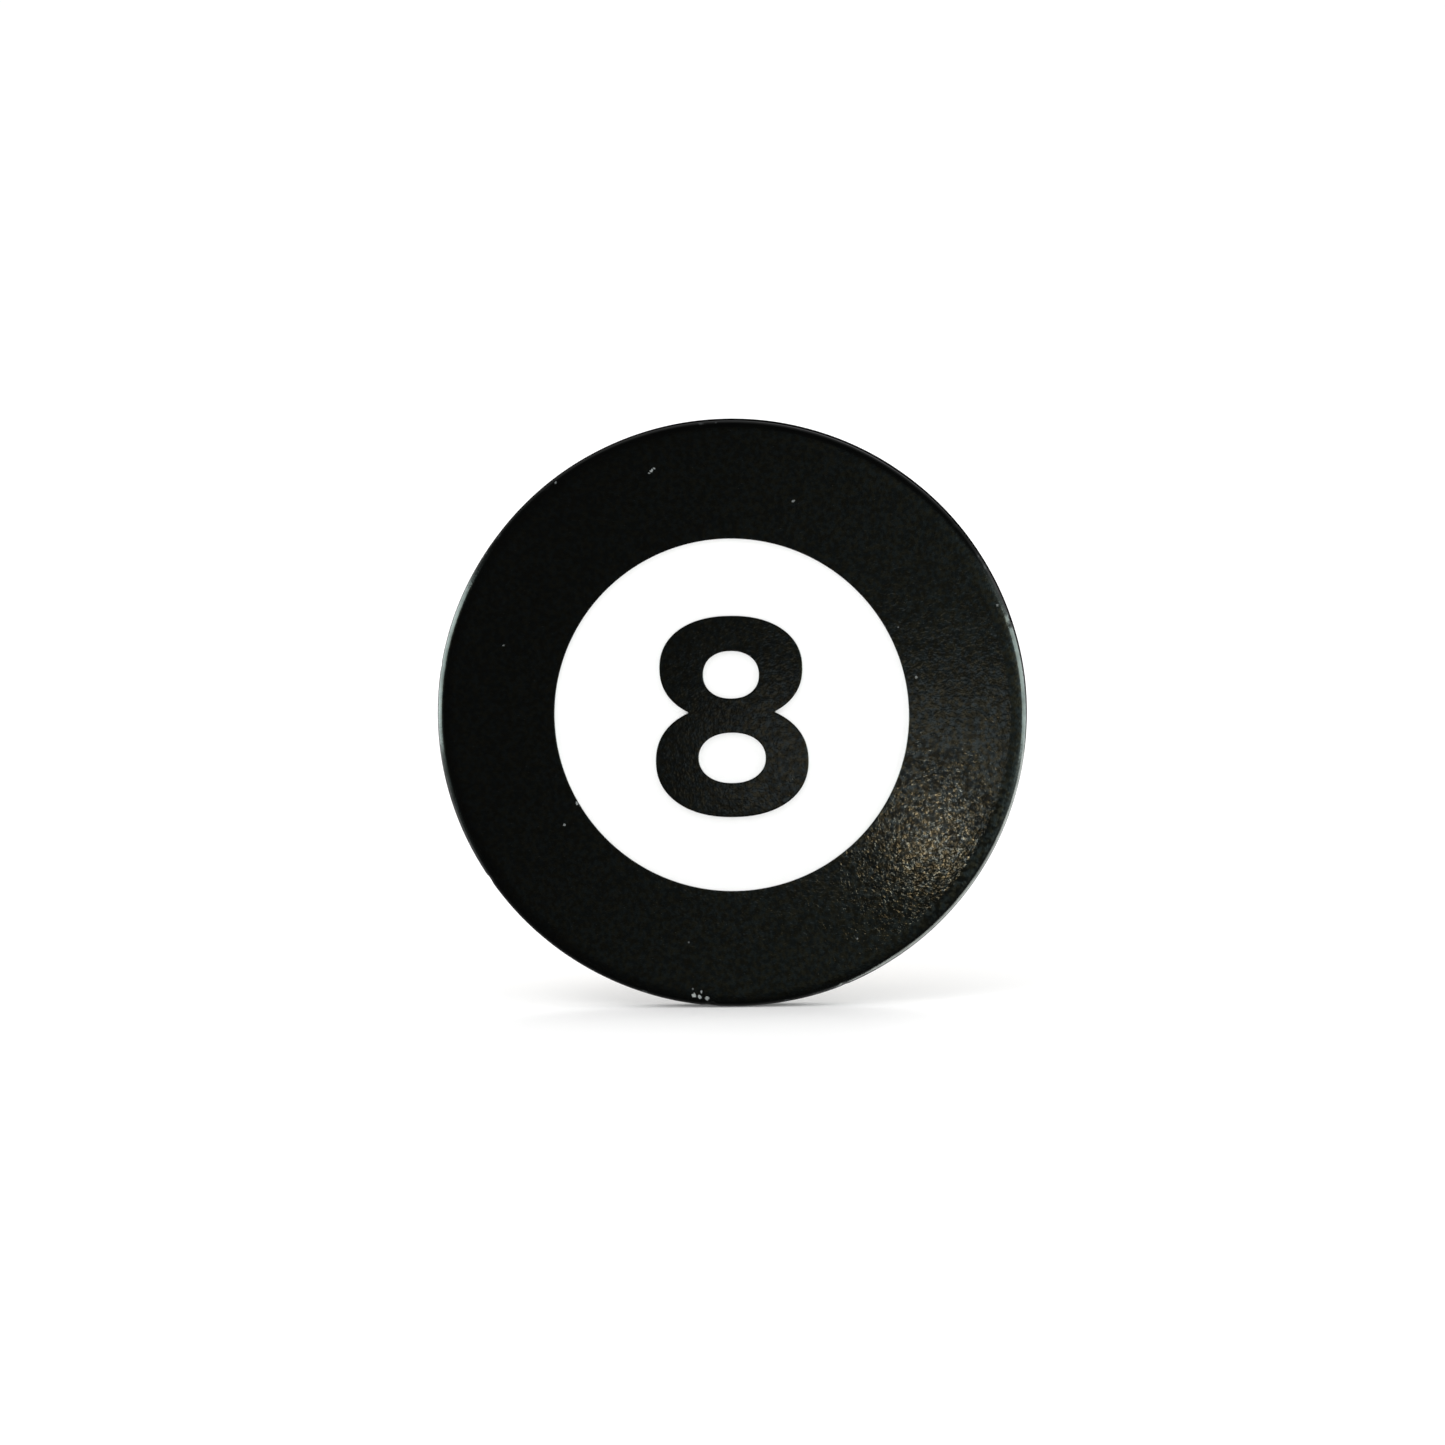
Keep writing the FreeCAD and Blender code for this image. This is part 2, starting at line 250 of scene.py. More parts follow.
def thicken(build, thickness, bevel, segments):
    """Thickens an open sheet both ways and rounds its cut edges."""
    mesh = mesh_from("tmp", build, weld=1e-4)
    obj = bpy.data.objects.new("tmp", mesh)
    bpy.context.scene.collection.objects.link(obj)
    solid = obj.modifiers.new("s", "SOLIDIFY")
    solid.thickness = thickness
    solid.offset = 0.0
    solid.use_even_offset = True
    solid.use_quality_normals = True
    rounding = obj.modifiers.new("b", "BEVEL")
    rounding.width = bevel
    rounding.segments = segments
    rounding.limit_method = "ANGLE"
    rounding.angle_limit = math.radians(50)
    rounding.use_clamp_overlap = True
    depsgraph = bpy.context.evaluated_depsgraph_get()
    solid_mesh = bpy.data.meshes.new_from_object(obj.evaluated_get(depsgraph))
    # the bevel leaves a folded face of no area where a window's side meets its sill
    bm = bmesh.new()
    bm.from_mesh(solid_mesh)
    folded = [f for f in bm.faces if f.calc_area() < 1e-6]
    bmesh.ops.delete(bm, geom=folded, context="FACES_ONLY")
    bmesh.ops.remove_doubles(bm, verts=bm.verts, dist=1e-5)
    bm.to_mesh(solid_mesh)
    bm.free()
    out = Build()
    out.verts = [tuple(v.co) for v in solid_mesh.vertices]
    out.faces = [tuple(p.vertices) for p in solid_mesh.polygons]
    bpy.data.objects.remove(obj)
    bpy.data.meshes.remove(mesh)
    bpy.data.meshes.remove(solid_mesh)
    return out


def make(name, build, material, node, body, sharp=50, weld=2e-4, weighted=True):
    """Turns a Build into a visible piece that stands for a CAD node; sharp is in degrees."""
    mesh = mesh_from(name, build, weld)
    mesh.transform(Matrix.Scale(MM, 4))
    mesh.polygons.foreach_set("use_smooth", [True] * len(mesh.polygons))
    mesh.set_sharp_from_angle(angle=math.radians(sharp))
    mesh.update()
    obj = bpy.data.objects.new(name, mesh)
    bpy.context.scene.collection.objects.link(obj)
    mesh.materials.append(material)
    if weighted:
        normals = obj.modifiers.new("even_normals", "WEIGHTED_NORMAL")
        normals.keep_sharp = True
        normals.weight = 50
    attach(obj, body)
    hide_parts(node)


# ------------------------------------------------------------------ shader tools
def add_node(tree, kind, inputs=None, **settings):
    """Adds a node; each input takes a value or a Signal."""
    node = tree.nodes.new(kind)
    for name, value in settings.items():
        setattr(node, name, value)
    for key, value in (inputs or {}).items():
        if isinstance(value, Signal):
            tree.links.new(value.socket, node.inputs[key])
        else:
            node.inputs[key].default_value = value
    return node


class Signal:
    """An output socket. Arithmetic on it adds Math nodes, its methods add other nodes."""

    def __init__(self, tree, socket):
        self.tree = tree
        self.socket = socket

    def node(self, kind, inputs, output=0, **settings):
        return Signal(self.tree, add_node(self.tree, kind, inputs, **settings).outputs[output])

    def math(self, operation, first, second=0.0, clamp=False):
        return self.node("ShaderNodeMath", {0: first, 1: second},
                         operation=operation, use_clamp=clamp)

    def __add__(self, other):
        return self.math("ADD", self, other)

    def __radd__(self, other):
        return self.math("ADD", other, self)

    def __sub__(self, other):
        return self.math("SUBTRACT", self, other)

    def __rsub__(self, other):
        return self.math("SUBTRACT", other, self)

    def __mul__(self, other):
        return self.math("MULTIPLY", self, other)

    def __truediv__(self, other):
        return self.math("DIVIDE", self, other)

    def __gt__(self, other):
        return self.math("GREATER_THAN", self, other)

    def __abs__(self):
        return self.math("ABSOLUTE", self)

    def root(self):
        return self.math("SQRT", self)

    def maximum(self, other):
        return self.math("MAXIMUM", self, other)

    def vector(self, operation, other=(0, 0, 0), output=0):
        return self.node("ShaderNodeVectorMath", {0: self, 1: other}, output,
                         operation=operation)

    def scaled(self, factor):
        return self.node("ShaderNodeVectorMath", {0: self, "Scale": factor}, operation="SCALE")

    def shifted(self, offset):
        return self.vector("ADD", offset)

    def stretched(self, factors):
        return self.vector("MULTIPLY", factors)

    def distance(self, point):
        return self.vector("DISTANCE", point, output=1)

    def split(self):
        node = add_node(self.tree, "ShaderNodeSeparateXYZ", {0: self})
        return [Signal(self.tree, socket) for socket in node.outputs]

    def ramp(self, start, end, low=0.0, high=1.0):
        """Eases from low at start to high at end."""
        inputs = {"Value": self, "From Min": start, "From Max": end,
                  "To Min": low, "To Max": high}
        return self.node("ShaderNodeMapRange", inputs, interpolation_type="SMOOTHSTEP")

    def mix(self, low, high):
        """A number between low and high, with this signal as the factor."""
        return self.node("ShaderNodeMix", {0: self, 2: low, 3: high}, data_type="FLOAT")

    def mix_color(self, low, high):
        return self.node("ShaderNodeMix", {0: self, 6: low, 7: high}, 2, data_type="RGBA")

    def noise(self, scale, detail, roughness=0.5, distortion=0.0, output=0):
        inputs = {"Vector": self, "Scale": scale, "Detail": detail,
                  "Roughness": roughness, "Distortion": distortion}
        return self.node("ShaderNodeTexNoise", inputs, output)

    def jittered(self, amount, scale, detail, roughness):
        """Coordinates pushed about by coloured noise."""
        color = self.noise(scale, detail, roughness, output="Color")
        return self.shifted(color.vector("SUBTRACT", (0.5, 0.5, 0.5)).scaled(amount))

    def specks(self, scale, outer, inner, channel, above):
        """Round specks in those Voronoi cells whose colour channel is above a value."""
        inputs = {"Vector": self, "Scale": scale}
        away = self.node("ShaderNodeTexVoronoi", inputs, "Distance", feature="F1")
        color = self.node("ShaderNodeTexVoronoi", inputs, "Color", feature="F1")
        return away.ramp(start=outer, end=inner) * (color.split()[channel] > above)

    def bump(self, depth, strength=1.0, under=None):
        """A normal with this signal as height; depth in millimetres, over another normal."""
        inputs = {"Height": self, "Distance": depth * MM, "Strength": strength}
        if under is not None:
            inputs["Normal"] = under
        return self.node("ShaderNodeBump", inputs)


def sources(tree, kind, *outputs):
    """Signals from a node that has no inputs."""
    node = add_node(tree, kind)
    return [Signal(tree, node.outputs[name]) for name in outputs]


def new_material(name):
    """An empty material, and its object coordinates in millimetres."""
    material = bpy.data.materials.new(name)
    material.use_nodes = True
    material.node_tree.nodes.clear()
    coords, = sources(material.node_tree, "ShaderNodeTexCoord", "Object")
    return material, coords.scaled(1000.0)


def principled(material, **values):
    """Ends the material in a Principled shader; underscores stand for spaces."""
    tree = material.node_tree
    inputs = {key.replace("_", " "): value for key, value in values.items()}
    surface = add_node(tree, "ShaderNodeBsdfPrincipled", inputs)
    output = add_node(tree, "ShaderNodeOutputMaterial")
    tree.links.new(surface.outputs[0], output.inputs["Surface"])
    return material


# ------------------------------------------------------------------ materials
WHITE = (1, 1, 1, 1)

# Small marks on the coat, in millimetres on the face: x, z, size, strength
MARKS = [
    (-3.21, 10.43, 0.055, 0.6), (-3.10, 10.52, 0.045, 0.5), (-3.31, 10.34, 0.04, 0.35),
    (-7.66, 9.88, 0.06, 0.5), (-7.30, 9.98, 0.05, 0.45),
    (-10.48, -6.99, 0.10, 0.6), (-10.30, -7.12, 0.06, 0.45),
    (2.74, 9.07, 0.05, 0.35), (7.84, 1.55, 0.055, 0.35),
    (-6.61, -3.68, 0.05, 0.5), (-7.16, -4.61, 0.05, 0.4),
    (-1.78, -11.97, 0.085, 0.9), (-1.54, -12.04, 0.075, 0.8),
    (-1.22, -12.12, 0.085, 0.7), (-1.46, -11.81, 0.05, 0.7),
    (8.35, -5.95, 0.045, 0.5), (11.30, 4.55, 0.05, 0.3),
    (5.2, -9.6, 0.04, 0.3), (-9.6, 3.1, 0.04, 0.25),
]


def lacquer_normal(place, back, side, coarse):
    """A fine net of low ridges, coarser on the back, over a slow wave."""
    bent = place.jittered(amount=0.30, scale=1.6, detail=1.0, roughness=0.5)
    fine = bent.noise(scale=4.3, detail=1.0, roughness=0.55, distortion=0.4)
    net = 1.0 - abs(fine.ramp(start=0.30, end=0.70) * 2.0 - 1.0)
    pin = place.noise(scale=8.5, detail=1.0).ramp(start=0.30, end=0.70)
    blast = place.noise(scale=6.0, detail=2.0, roughness=0.6)
    # weights of the two patterns, first on the face, then on the back
    height = back.mix(net * 0.55 + pin * 0.45, blast * 4.2 + coarse * 3.2)
    wave = place.noise(scale=0.42, detail=1.0).bump(depth=0.020)
    return height.bump(depth=0.0052, strength=side.mix(1.0, 0.25), under=wave)


def lacquer_marks(place):
    """The listed marks, with ragged outlines, and sparse dust."""
    ragged = place.jittered(amount=0.17, scale=9.0, detail=2.0, roughness=0.6)
    marks = None
    for x, z, size, strength in MARKS:
        # the face falls away towards the rim
        past_face = max(0.0, math.hypot(x, z) - FACE_R)
        y = FACE_Y + EDGE_DROP * min(1.0, past_face / 0.5) ** 1.6
        spot = ragged.distance((x, y, z)).ramp(start=size * 1.35, end=size * 0.75) * strength
        marks = marks.maximum(spot) if marks else spot
    dust = place.specks(scale=0.55, outer=0.034, inner=0.016, channel=0, above=0.80)
    return marks.maximum(dust * 0.22)


def face_level(place, x, z):
    """Specular level of the face's grain."""
    spark = place.shifted((1.0, 8.0, 3.0)).noise(scale=5.6, detail=1.0)
    spark = spark.ramp(start=0.36, end=0.66, low=0.23, high=1.0)
    # set with no known physical cause: the grain is stronger in one area and the
    # coat glossier towards one side of the face
    near = place.distance((8.3, -1.5, -5.3)).ramp(start=5.2, end=2.6, low=0.50, high=1.0)
    flow = x * 0.80 - z * 0.35
    gloss = flow.ramp(start=-9.0, end=14.0, low=0.265, high=1.22)
    return near.mix(0.60, spark) * gloss * 0.80


def rim_level(place, x, y, z, radius):
    """Specular level of the side and the corner."""
    patches = place.noise(scale=0.8, detail=3.0, roughness=0.65)
    level = patches.ramp(start=0.32, end=0.66, low=0.34, high=0.60)
    # the corner is shiny at both sides and at the lower right, dull elsewhere
    across = abs(x) / radius
    lower = (x - z) / (radius * 1.4142)
    shine = across.ramp(start=0.80, end=0.93).maximum(
        lower.ramp(start=0.82, end=0.95, low=0.0, high=0.75))
    dull = (1.0 - shine) * y.ramp(start=-1.00, end=-1.10)
    level = dull.mix(level, 0.05)
    # also: no mirror when the side is looked along
    normal, incoming = sources(place.tree, "ShaderNodeNewGeometry", "Normal", "Incoming")
    facing = abs(normal.vector("DOT_PRODUCT", incoming, output=1))
    return level * facing.ramp(start=0.16, end=0.40)


def black_lacquer():
    material, place = new_material("black_lacquer")
    x, y, z = place.split()
    radius = (x * x + z * z).root()
    back = y.ramp(start=-0.09, end=-0.02)
    side = radius.ramp(start=12.15, end=12.4)
    coarse = place.noise(scale=2.6, detail=3.0, roughness=0.7)
    tone = place.noise(scale=1.3, detail=3.0, roughness=0.6)
    marks = lacquer_marks(place)

    # rubbed corner, in short broken stretches
    rubbed_y = -1.27
    broken = place.noise(scale=1.1, detail=4.0, roughness=0.72).ramp(start=0.60, end=0.72)
    wear = abs(y - rubbed_y).ramp(start=0.09, end=0.0) * side * broken * 0.16

    color = tone.mix_color((0.0010, 0.0010, 0.0010, 1), (0.0016, 0.0016, 0.0015, 1))
    color = (back * 0.9).mix_color(color, (0.0040, 0.0041, 0.0042, 1))
    color = wear.mix_color(color, (0.28, 0.30, 0.31, 1))
    color = marks.mix_color(color, (0.34, 0.36, 0.36, 1))

    rough = back.mix(0.105 + tone * 0.05, 0.27 + coarse * 0.14)  # face, back
    rough = side.mix(rough, 0.17)
    rough = rough.maximum(marks * 0.7)

    # each grain of the coat glints in its own shade
    hue = place.shifted((5.0, 2.0, 9.0)).noise(scale=4.2, detail=1.0)
    tint = hue.ramp(start=0.36, end=0.64).mix_color((1.0, 0.86, 0.60, 1), (0.84, 0.95, 0.98, 1))
    level = back.mix(face_level(place, x, z), 0.36)
    return principled(
        material, Base_Color=color, Roughness=rough, IOR=1.5, Metallic=0.0,
        Normal=lacquer_normal(place, back, side, coarse),
        Specular_IOR_Level=side.mix(level, rim_level(place, x, y, z, radius)),
        Specular_Tint=side.maximum(back).mix_color(tint, WHITE))


def white_enamel():
    material, place = new_material("white_enamel")
    wave = place.noise(scale=0.55, detail=2.0).bump(depth=0.035)
    peel = place.noise(scale=2.4, detail=2.0).bump(depth=0.0022, under=wave)
    cloud = place.noise(scale=0.8, detail=4.0, roughness=0.6)
    spots = place.specks(scale=1.1, outer=0.05, inner=0.025, channel=1, above=0.86)
    color = cloud.mix_color((0.925, 0.930, 0.925, 1), (0.955, 0.957, 0.950, 1))
    # painted shade: the enamel is greyed where it climbs the walls, standing in for the shade of
    # the walls
    edge = place.split()[1].ramp(start=-1.352, end=-1.392)
    color = (edge * 0.16).mix_color(color, (0.70, 0.71, 0.72, 1))
    color = (spots * 0.10).mix_color(color, (0.72, 0.72, 0.70, 1))
    return principled(material, Base_Color=color, Roughness=0.085 + cloud * 0.05,
                      Normal=peel, IOR=1.52)


def brass(name, seed):
    material, place = new_material(name)
    place = place.shifted((seed, -seed, seed * 0.5))
    cloud = place.noise(scale=0.9, detail=4.0, roughness=0.6)
    fine = place.noise(scale=5.5, detail=3.0, roughness=0.6)
    # light tumbling scratches in two directions
    upright = place.stretched((14.0, 14.0, 0.9))
    level = place.shifted((3.0, 1.0, 2.0)).stretched((1.1, 16.0, 15.0))
    scratch = (upright.noise(scale=1.0, detail=2.0, roughness=0.6) * 0.5
               + level.noise(scale=1.0, detail=2.0, roughness=0.6) * 0.5)
    tarnish = place.shifted((7.0, 3.0, 1.0)).noise(scale=0.55, detail=5.0, roughness=0.65)
    tarnish = tarnish.ramp(start=0.50, end=0.78)
    pits = place.specks(scale=2.3, outer=0.10, inner=0.04, channel=0, above=0.80)
    color = cloud.mix_color((0.80, 0.58, 0.27, 1), (0.90, 0.70, 0.37, 1))
    color = (tarnish * 0.55).mix_color(color, (0.54, 0.35, 0.15, 1))
    color = (pits * 0.35).mix_color(color, (0.22, 0.13, 0.05, 1))
    # polished base, then what each kind of wear adds
    rough = (0.17 + fine * 0.12 + tarnish * 0.13
             + scratch.ramp(start=0.55, end=0.66) * 0.10)
    normal = cloud.bump(depth=0.020, strength=0.8)
    normal = scratch.bump(depth=0.0040, strength=0.8, under=normal)
    normal = fine.bump(depth=0.0028, strength=0.8, under=normal)
    return principled(material, Base_Color=color, Metallic=1.0, Roughness=rough, Normal=normal)


def post_metal():
    """Dark plating, rubbed bright at the tip and in front of the groove."""
    material, place = new_material("post_metal")
    y = place.split()[1]
    turned = place.stretched((0.6, 26.0, 0.6)).noise(scale=1.0, detail=2.0, roughness=0.6)
    cloud = place.noise(scale=2.2, detail=3.0, roughness=0.6)
    groove_edge = 5.56
    rub = (y.ramp(start=6.1, end=7.3)
           + abs(y - groove_edge).ramp(start=0.22, end=0.02) * 0.8)
    rub = rub.math("MULTIPLY", rub, cloud.ramp(start=0.30, end=0.62), clamp=True)
    color = rub.mix_color((0.075, 0.076, 0.080, 1), (0.52, 0.51, 0.49, 1))
    return principled(material, Base_Color=color, Metallic=0.92,
                      Roughness=rub.mix(0.24 + cloud * 0.12, 0.20),
                      Normal=turned.bump(depth=0.0035, strength=0.9))


def solder_metal():
    material, place = new_material("solder")
    lumps = place.noise(scale=2.6, detail=3.0, roughness=0.6)
    fine = place.noise(scale=9.0, detail=2.0, roughness=0.6)
    color = lumps.mix_color((0.045, 0.046, 0.050, 1), (0.13, 0.13, 0.135, 1))
    return principled(material, Base_Color=color, Metallic=0.85, Roughness=0.26 + fine * 0.2,
                      Normal=(lumps + fine * 0.3).bump(depth=0.03, strength=0.8))


def spring_steel():
    material, place = new_material("spring_steel")
    drawn = place.noise(scale=12.0, detail=3.0, roughness=0.6)
    cloud = place.noise(scale=1.5, detail=3.0, roughness=0.6)
    color = cloud.mix_color((0.50, 0.50, 0.51, 1), (0.66, 0.66, 0.66, 1))
    return principled(material, Base_Color=color, Metallic=1.0, Roughness=0.20 + drawn * 0.12,
                      Normal=drawn.bump(depth=0.003, strength=0.8))


LACQUER = black_lacquer()
ENAMEL = white_enamel()
BRASS = brass("brass", seed=0.0)
BRASS_WING = brass("brass_wing", seed=11.0)
POST = post_metal()
SOLDER = solder_metal()
STEEL = spring_steel()

# ------------------------------------------------------------------ the numeral's outline
TURN_COUNT = 1080  # vertices round the plate and round the numeral
ANGLES = np.arange(TURN_COUNT) * TAU / TURN_COUNT
DIRECTIONS = np.stack([np.sin(ANGLES), np.cos(ANGLES)], 1)  # unit circle in (x, z)
BLEND = 16.0  # sharpness of the waist between the two bowls


def reach_of(oval):
    """Distance from the origin to a superellipse along each direction, by halving."""
    along_x, along_z = DIRECTIONS.T
    near = np.zeros(TURN_COUNT)
    far = np.full(TURN_COUNT, 10.0)
    for _ in range(60):
        mid = (near + far) / 2
        term_x = np.abs(mid * along_x / oval.half_width) ** oval.power
        term_z = np.abs((mid * along_z - oval.centre_z) / oval.half_height) ** oval.power
        inside = (term_x + term_z) < 1
        near = np.where(inside, mid, near)
        far = np.where(inside, far, mid)
    return (near + far) / 2


OUTLINE_R = np.logaddexp(BLEND * reach_of(BOWL_UP), BLEND * reach_of(BOWL_LOW)) / BLEND
OUTLINE = DIRECTIONS * OUTLINE_R[:, None]


def offset(loop, distance):
    """Moves a closed loop of (x, z) points along its outward normals."""
    tangent = np.roll(loop, -1, 0) - np.roll(loop, 1, 0)
    normal = np.stack([tangent[:, 1], -tangent[:, 0]], 1)
    normal /= np.linalg.norm(normal, axis=1)[:, None]
    if ((loop - loop.mean(0)) * normal).sum() < 0:
        normal = -normal
    return loop + normal * distance


def eye_loop(oval, count=300):
    angles = np.arange(count) * TAU / count
    sine = np.sin(angles)
    cosine = np.cos(angles)
    power = 2 / oval.power
    x = np.sign(sine) * oval.half_width * np.abs(sine) ** power
    z = oval.centre_z + np.sign(cosine) * oval.half_height * np.abs(cosine) ** power
    return np.stack([x, z], 1)


def at_y(loop, y):
    return [(x, y, z) for x, z in loop]


def inside_loop(points, loop):
    """Even-odd test of points against a closed loop."""
    x, z = points[:, 0], points[:, 1]
    x0, z0 = loop[:, 0], loop[:, 1]
    x1, z1 = np.roll(x0, -1), np.roll(z0, -1)
    hits = np.zeros(len(points), int)
    for k in range(len(loop)):
        spans = (z0[k] > z) != (z1[k] > z)
        with np.errstate(divide="ignore", invalid="ignore"):
            crossing = (x1[k] - x0[k]) * (z - z0[k]) / (z1[k] - z0[k]) + x0[k]
        hits += spans & (x < crossing)
    return hits % 2 == 1


def in_region(points, loops):
    """Inside the first loop and outside all the others."""
    keep = inside_loop(points, loops[0])
    for hole in loops[1:]:
        keep &= ~inside_loop(points, hole)
    return keep


def fill_flat(build, loops, loop_ids, y, pitch, margin):
    """Fills a flat region between an outer loop and its holes with even triangles."""
    low = loops[0].min(0)
    high = loops[0].max(0)
    xs = np.arange(low[0], high[0] + pitch, pitch)
    zs = np.arange(low[1], high[1] + pitch, pitch * 0.866)
    grid = np.array([(x + (0.5 * pitch if k % 2 else 0), z) for k, z in enumerate(zs) for x in xs])
    grid = grid[in_region(grid, loops)]
    edge = np.concatenate(loops)
    clear = [np.min(np.hypot(edge[:, 0] - x, edge[:, 1] - z)) > margin for x, z in grid]
    grid = grid[np.array(clear, bool)]
    points = []
    ids = []
    segments = []
    for loop, indices in zip(loops, loop_ids):
        base = len(points)
        points += [Vector((float(x), float(z))) for x, z in loop]
        ids += list(indices)
        segments += [(base + i, base + (i + 1) % len(loop)) for i in range(len(loop))]
    for x, z in grid:
        points.append(Vector((float(x), float(z))))
        ids.append(build.point((x, y, z)))
    result = geometry.delaunay_2d_cdt(points, segments, [], 0, 1e-7)
    places, triangles, origins = result[0], result[2], result[3]
    vert_of = [
        ids[origin[0]] if origin else build.point((place[0], y, place[1]))
        for place, origin in zip(places, origins)
    ]
    centres = np.array([
        [sum(places[i][axis] for i in triangle) / 3 for axis in (0, 1)] for triangle in triangles
    ])
    for triangle, keep in zip(triangles, in_region(centres, loops)):
        if keep:
            build.faces.append(tuple(vert_of[i] for i in triangle))


# ------------------------------------------------------------------ badge plate
WALL_YS = (FLOOR_Y - 0.25, FACE_Y + EDGE + 0.02, FACE_Y + EDGE)

# Dents in the rim: x, z, size, depth
DINGS = [
    (-10.50, -6.98, 0.30, 0.045), (-7.74, 9.82, 0.26, 0.035), (11.88, 3.88, 0.28, 0.040),
    (-1.1, -12.45, 0.40, 0.050), (9.6, 8.0, 0.22, 0.025), (-12.3, 2.2, 0.25, 0.02),
    (4.6, -11.62, 0.22, 0.03),
]


def raise_wall(build, foot, loop, side):
    """Builds a cell wall up from its foot and rounds it onto the face.

    The rounding goes outwards from the loop for side 1 and inwards for side -1.
    """
    rings = [foot]
    rings += [build.ring(at_y(loop, y)) for y in WALL_YS]
    for k in range(1, 6):
        angle = math.radians(90 * k / 5)
        moved = offset(loop, side * EDGE * (1 - math.cos(angle)))
        rings.append(build.ring(at_y(moved, FACE_Y + EDGE - EDGE * math.sin(angle))))
    top_loop = offset(loop, side * (EDGE + EDGE_LAND))
    rings.append(build.ring(at_y(top_loop, FACE_Y)))
    build.loft_all(rings)
    return top_loop, rings[-1]


def plate_profile():
    """(radius, y) from the foot of the cell wall over the face and rim to the seat's centre."""
    profile = [(CELL_R, y) for y in (FLOOR_Y, *WALL_YS[:2])]
    profile += arc_about((CELL_R + EDGE, FACE_Y + EDGE), EDGE, 180, 270, 5)
    face_radii = (CELL_R + EDGE + EDGE_LAND, 7.8, 8.1, 8.45, 8.8, 9.15, 9.5, 9.85, 10.2,
                  10.55, 10.9, 11.2, 11.45, 11.62, 11.72)
    profile += [(radius, FACE_Y) for radius in face_radii]
    roll_end = (EDGE_R_MID, FACE_Y + EDGE_DROP)
    roll_mid = ((FACE_R + EDGE_R_MID) / 2, FACE_Y + EDGE_DROP * 0.30)
    profile += arc_through((FACE_R, FACE_Y), roll_mid, roll_end, 8)
    corner_mid = (BADGE_R - 0.081, FACE_Y + EDGE_DROP + 0.104)
    profile += arc_through(roll_end, corner_mid, (BADGE_R, FACE_Y + CORNER_DEPTH), 10)[1:]
    profile += [(BADGE_R, y) for y in (-1.05, -0.8, -0.5, -0.22)]
    profile += arc_about((BADGE_R - BACK_ROUND, -BACK_ROUND), BACK_ROUND, 0, 90, 6)
    back_radii = (12.30, 12.1, 11.4, 10.2, 8.6, 6.8, 5.0, 3.6, 2.7, 2.39)
    profile += [(radius, 0.0) for radius in back_radii]
    profile += arc_about((SEAT_R + 0.05, -0.05), 0.05, 90, 180, 4)
    profile += [(SEAT_R, -0.12), (SEAT_R, -SEAT_DEPTH), (1.2, -SEAT_DEPTH), (0.0, -SEAT_DEPTH)]
    return profile


def struck(_index, radius, y, angle):
    """Unevenness of the face and dents in the rim."""
    x = radius * math.sin(angle)
    z = radius * math.cos(angle)
    if y < -1.45 and 7.9 < radius < 11.7:
        # the struck face is not quite flat
        weight = min(1.0, (radius - 7.7) / 0.8) * min(1.0, (11.72 - radius) / 0.5)
        y += 0.006 * weight * wobble(x, 0, z, scale=0.33, seed=4.0)
    if radius > 11.9:
        weight = min(1.0, (radius - 11.9) / 0.4)
        radius += 0.010 * wobble(x, y, z, scale=0.30, seed=9.0) * weight - 0.004
        for centre_x, centre_z, size, depth in DINGS:
            away = math.hypot(x - centre_x, z - centre_z)
            if away < size and y < -0.6:
                ragged = 0.7 + 0.5 * wobble(x, y, z, scale=6.0, seed=2.0)
                dent = (1 - (away / size) ** 2) ** 2 * ragged
                radius -= depth * dent
                if y < -1.3:
                    y += depth * 0.6 * dent
        radius = min(radius, BADGE_R)
    return radius, y


def plate_piece():
    build = Build()
    foot = build.ring(at_y(OUTLINE, FLOOR_Y))
    tops = [raise_wall(build, foot, OUTLINE, side=-1)]
    for oval in (EYE_UP, EYE_LOW):
        loop = eye_loop(oval)
        centre = [0, oval.centre_z]
        eye_foot = build.ring(at_y(loop, FLOOR_Y))
        middle = build.ring(at_y((loop - centre) * 0.5 + centre, FLOOR_Y))
        build.loft(eye_foot, middle)
        build.fan(middle, build.point((0, FLOOR_Y, oval.centre_z)))
        tops.append(raise_wall(build, eye_foot, loop, side=1))
    loops, loop_ids = zip(*tops)
    fill_flat(build, loops, loop_ids, FACE_Y, pitch=0.22, margin=0.12)
    # cell floor, out to the cell wall
    floor_rings = [foot]
    for share in (0.3, 0.7):
        loop = OUTLINE + (DIRECTIONS * CELL_R - OUTLINE) * share
        floor_rings.append(build.ring(at_y(loop, FLOOR_Y)))
    floor_rings.append(build.lathe(plate_profile(), TURN_COUNT, tune=struck)[0])
    build.loft_all(floor_rings)
    make("badge_plate_struck", build, LACQUER,
         node="badge_plate", body="badge")


plate_piece()

# ------------------------------------------------------------------ enamel fills
FILL_OVERLAP = 0.004  # how far a fill reaches into the walls around it


def enamel_top(wall_distance, x, z):
    """Height of the fill: it climbs the wall and dips a little in between."""
    climb = 0.085 * math.exp(-wall_distance / 0.10) + 0.018 * math.exp(-wall_distance / 0.45)
    return FILL_Y - climb + 0.007 * wobble(x, 0, z, scale=0.5, seed=21.0)


def ease(count):
    """0 to 1 with close steps at both ends."""
    even = np.linspace(0, 1, count)
    return 0.5 - 0.5 * np.cos(math.pi * (0.5 - 0.5 * np.cos(math.pi * even)))


def make_fill(build, node):
    make(f"{node}_fill", build, ENAMEL, node=node, body="badge", sharp=60)


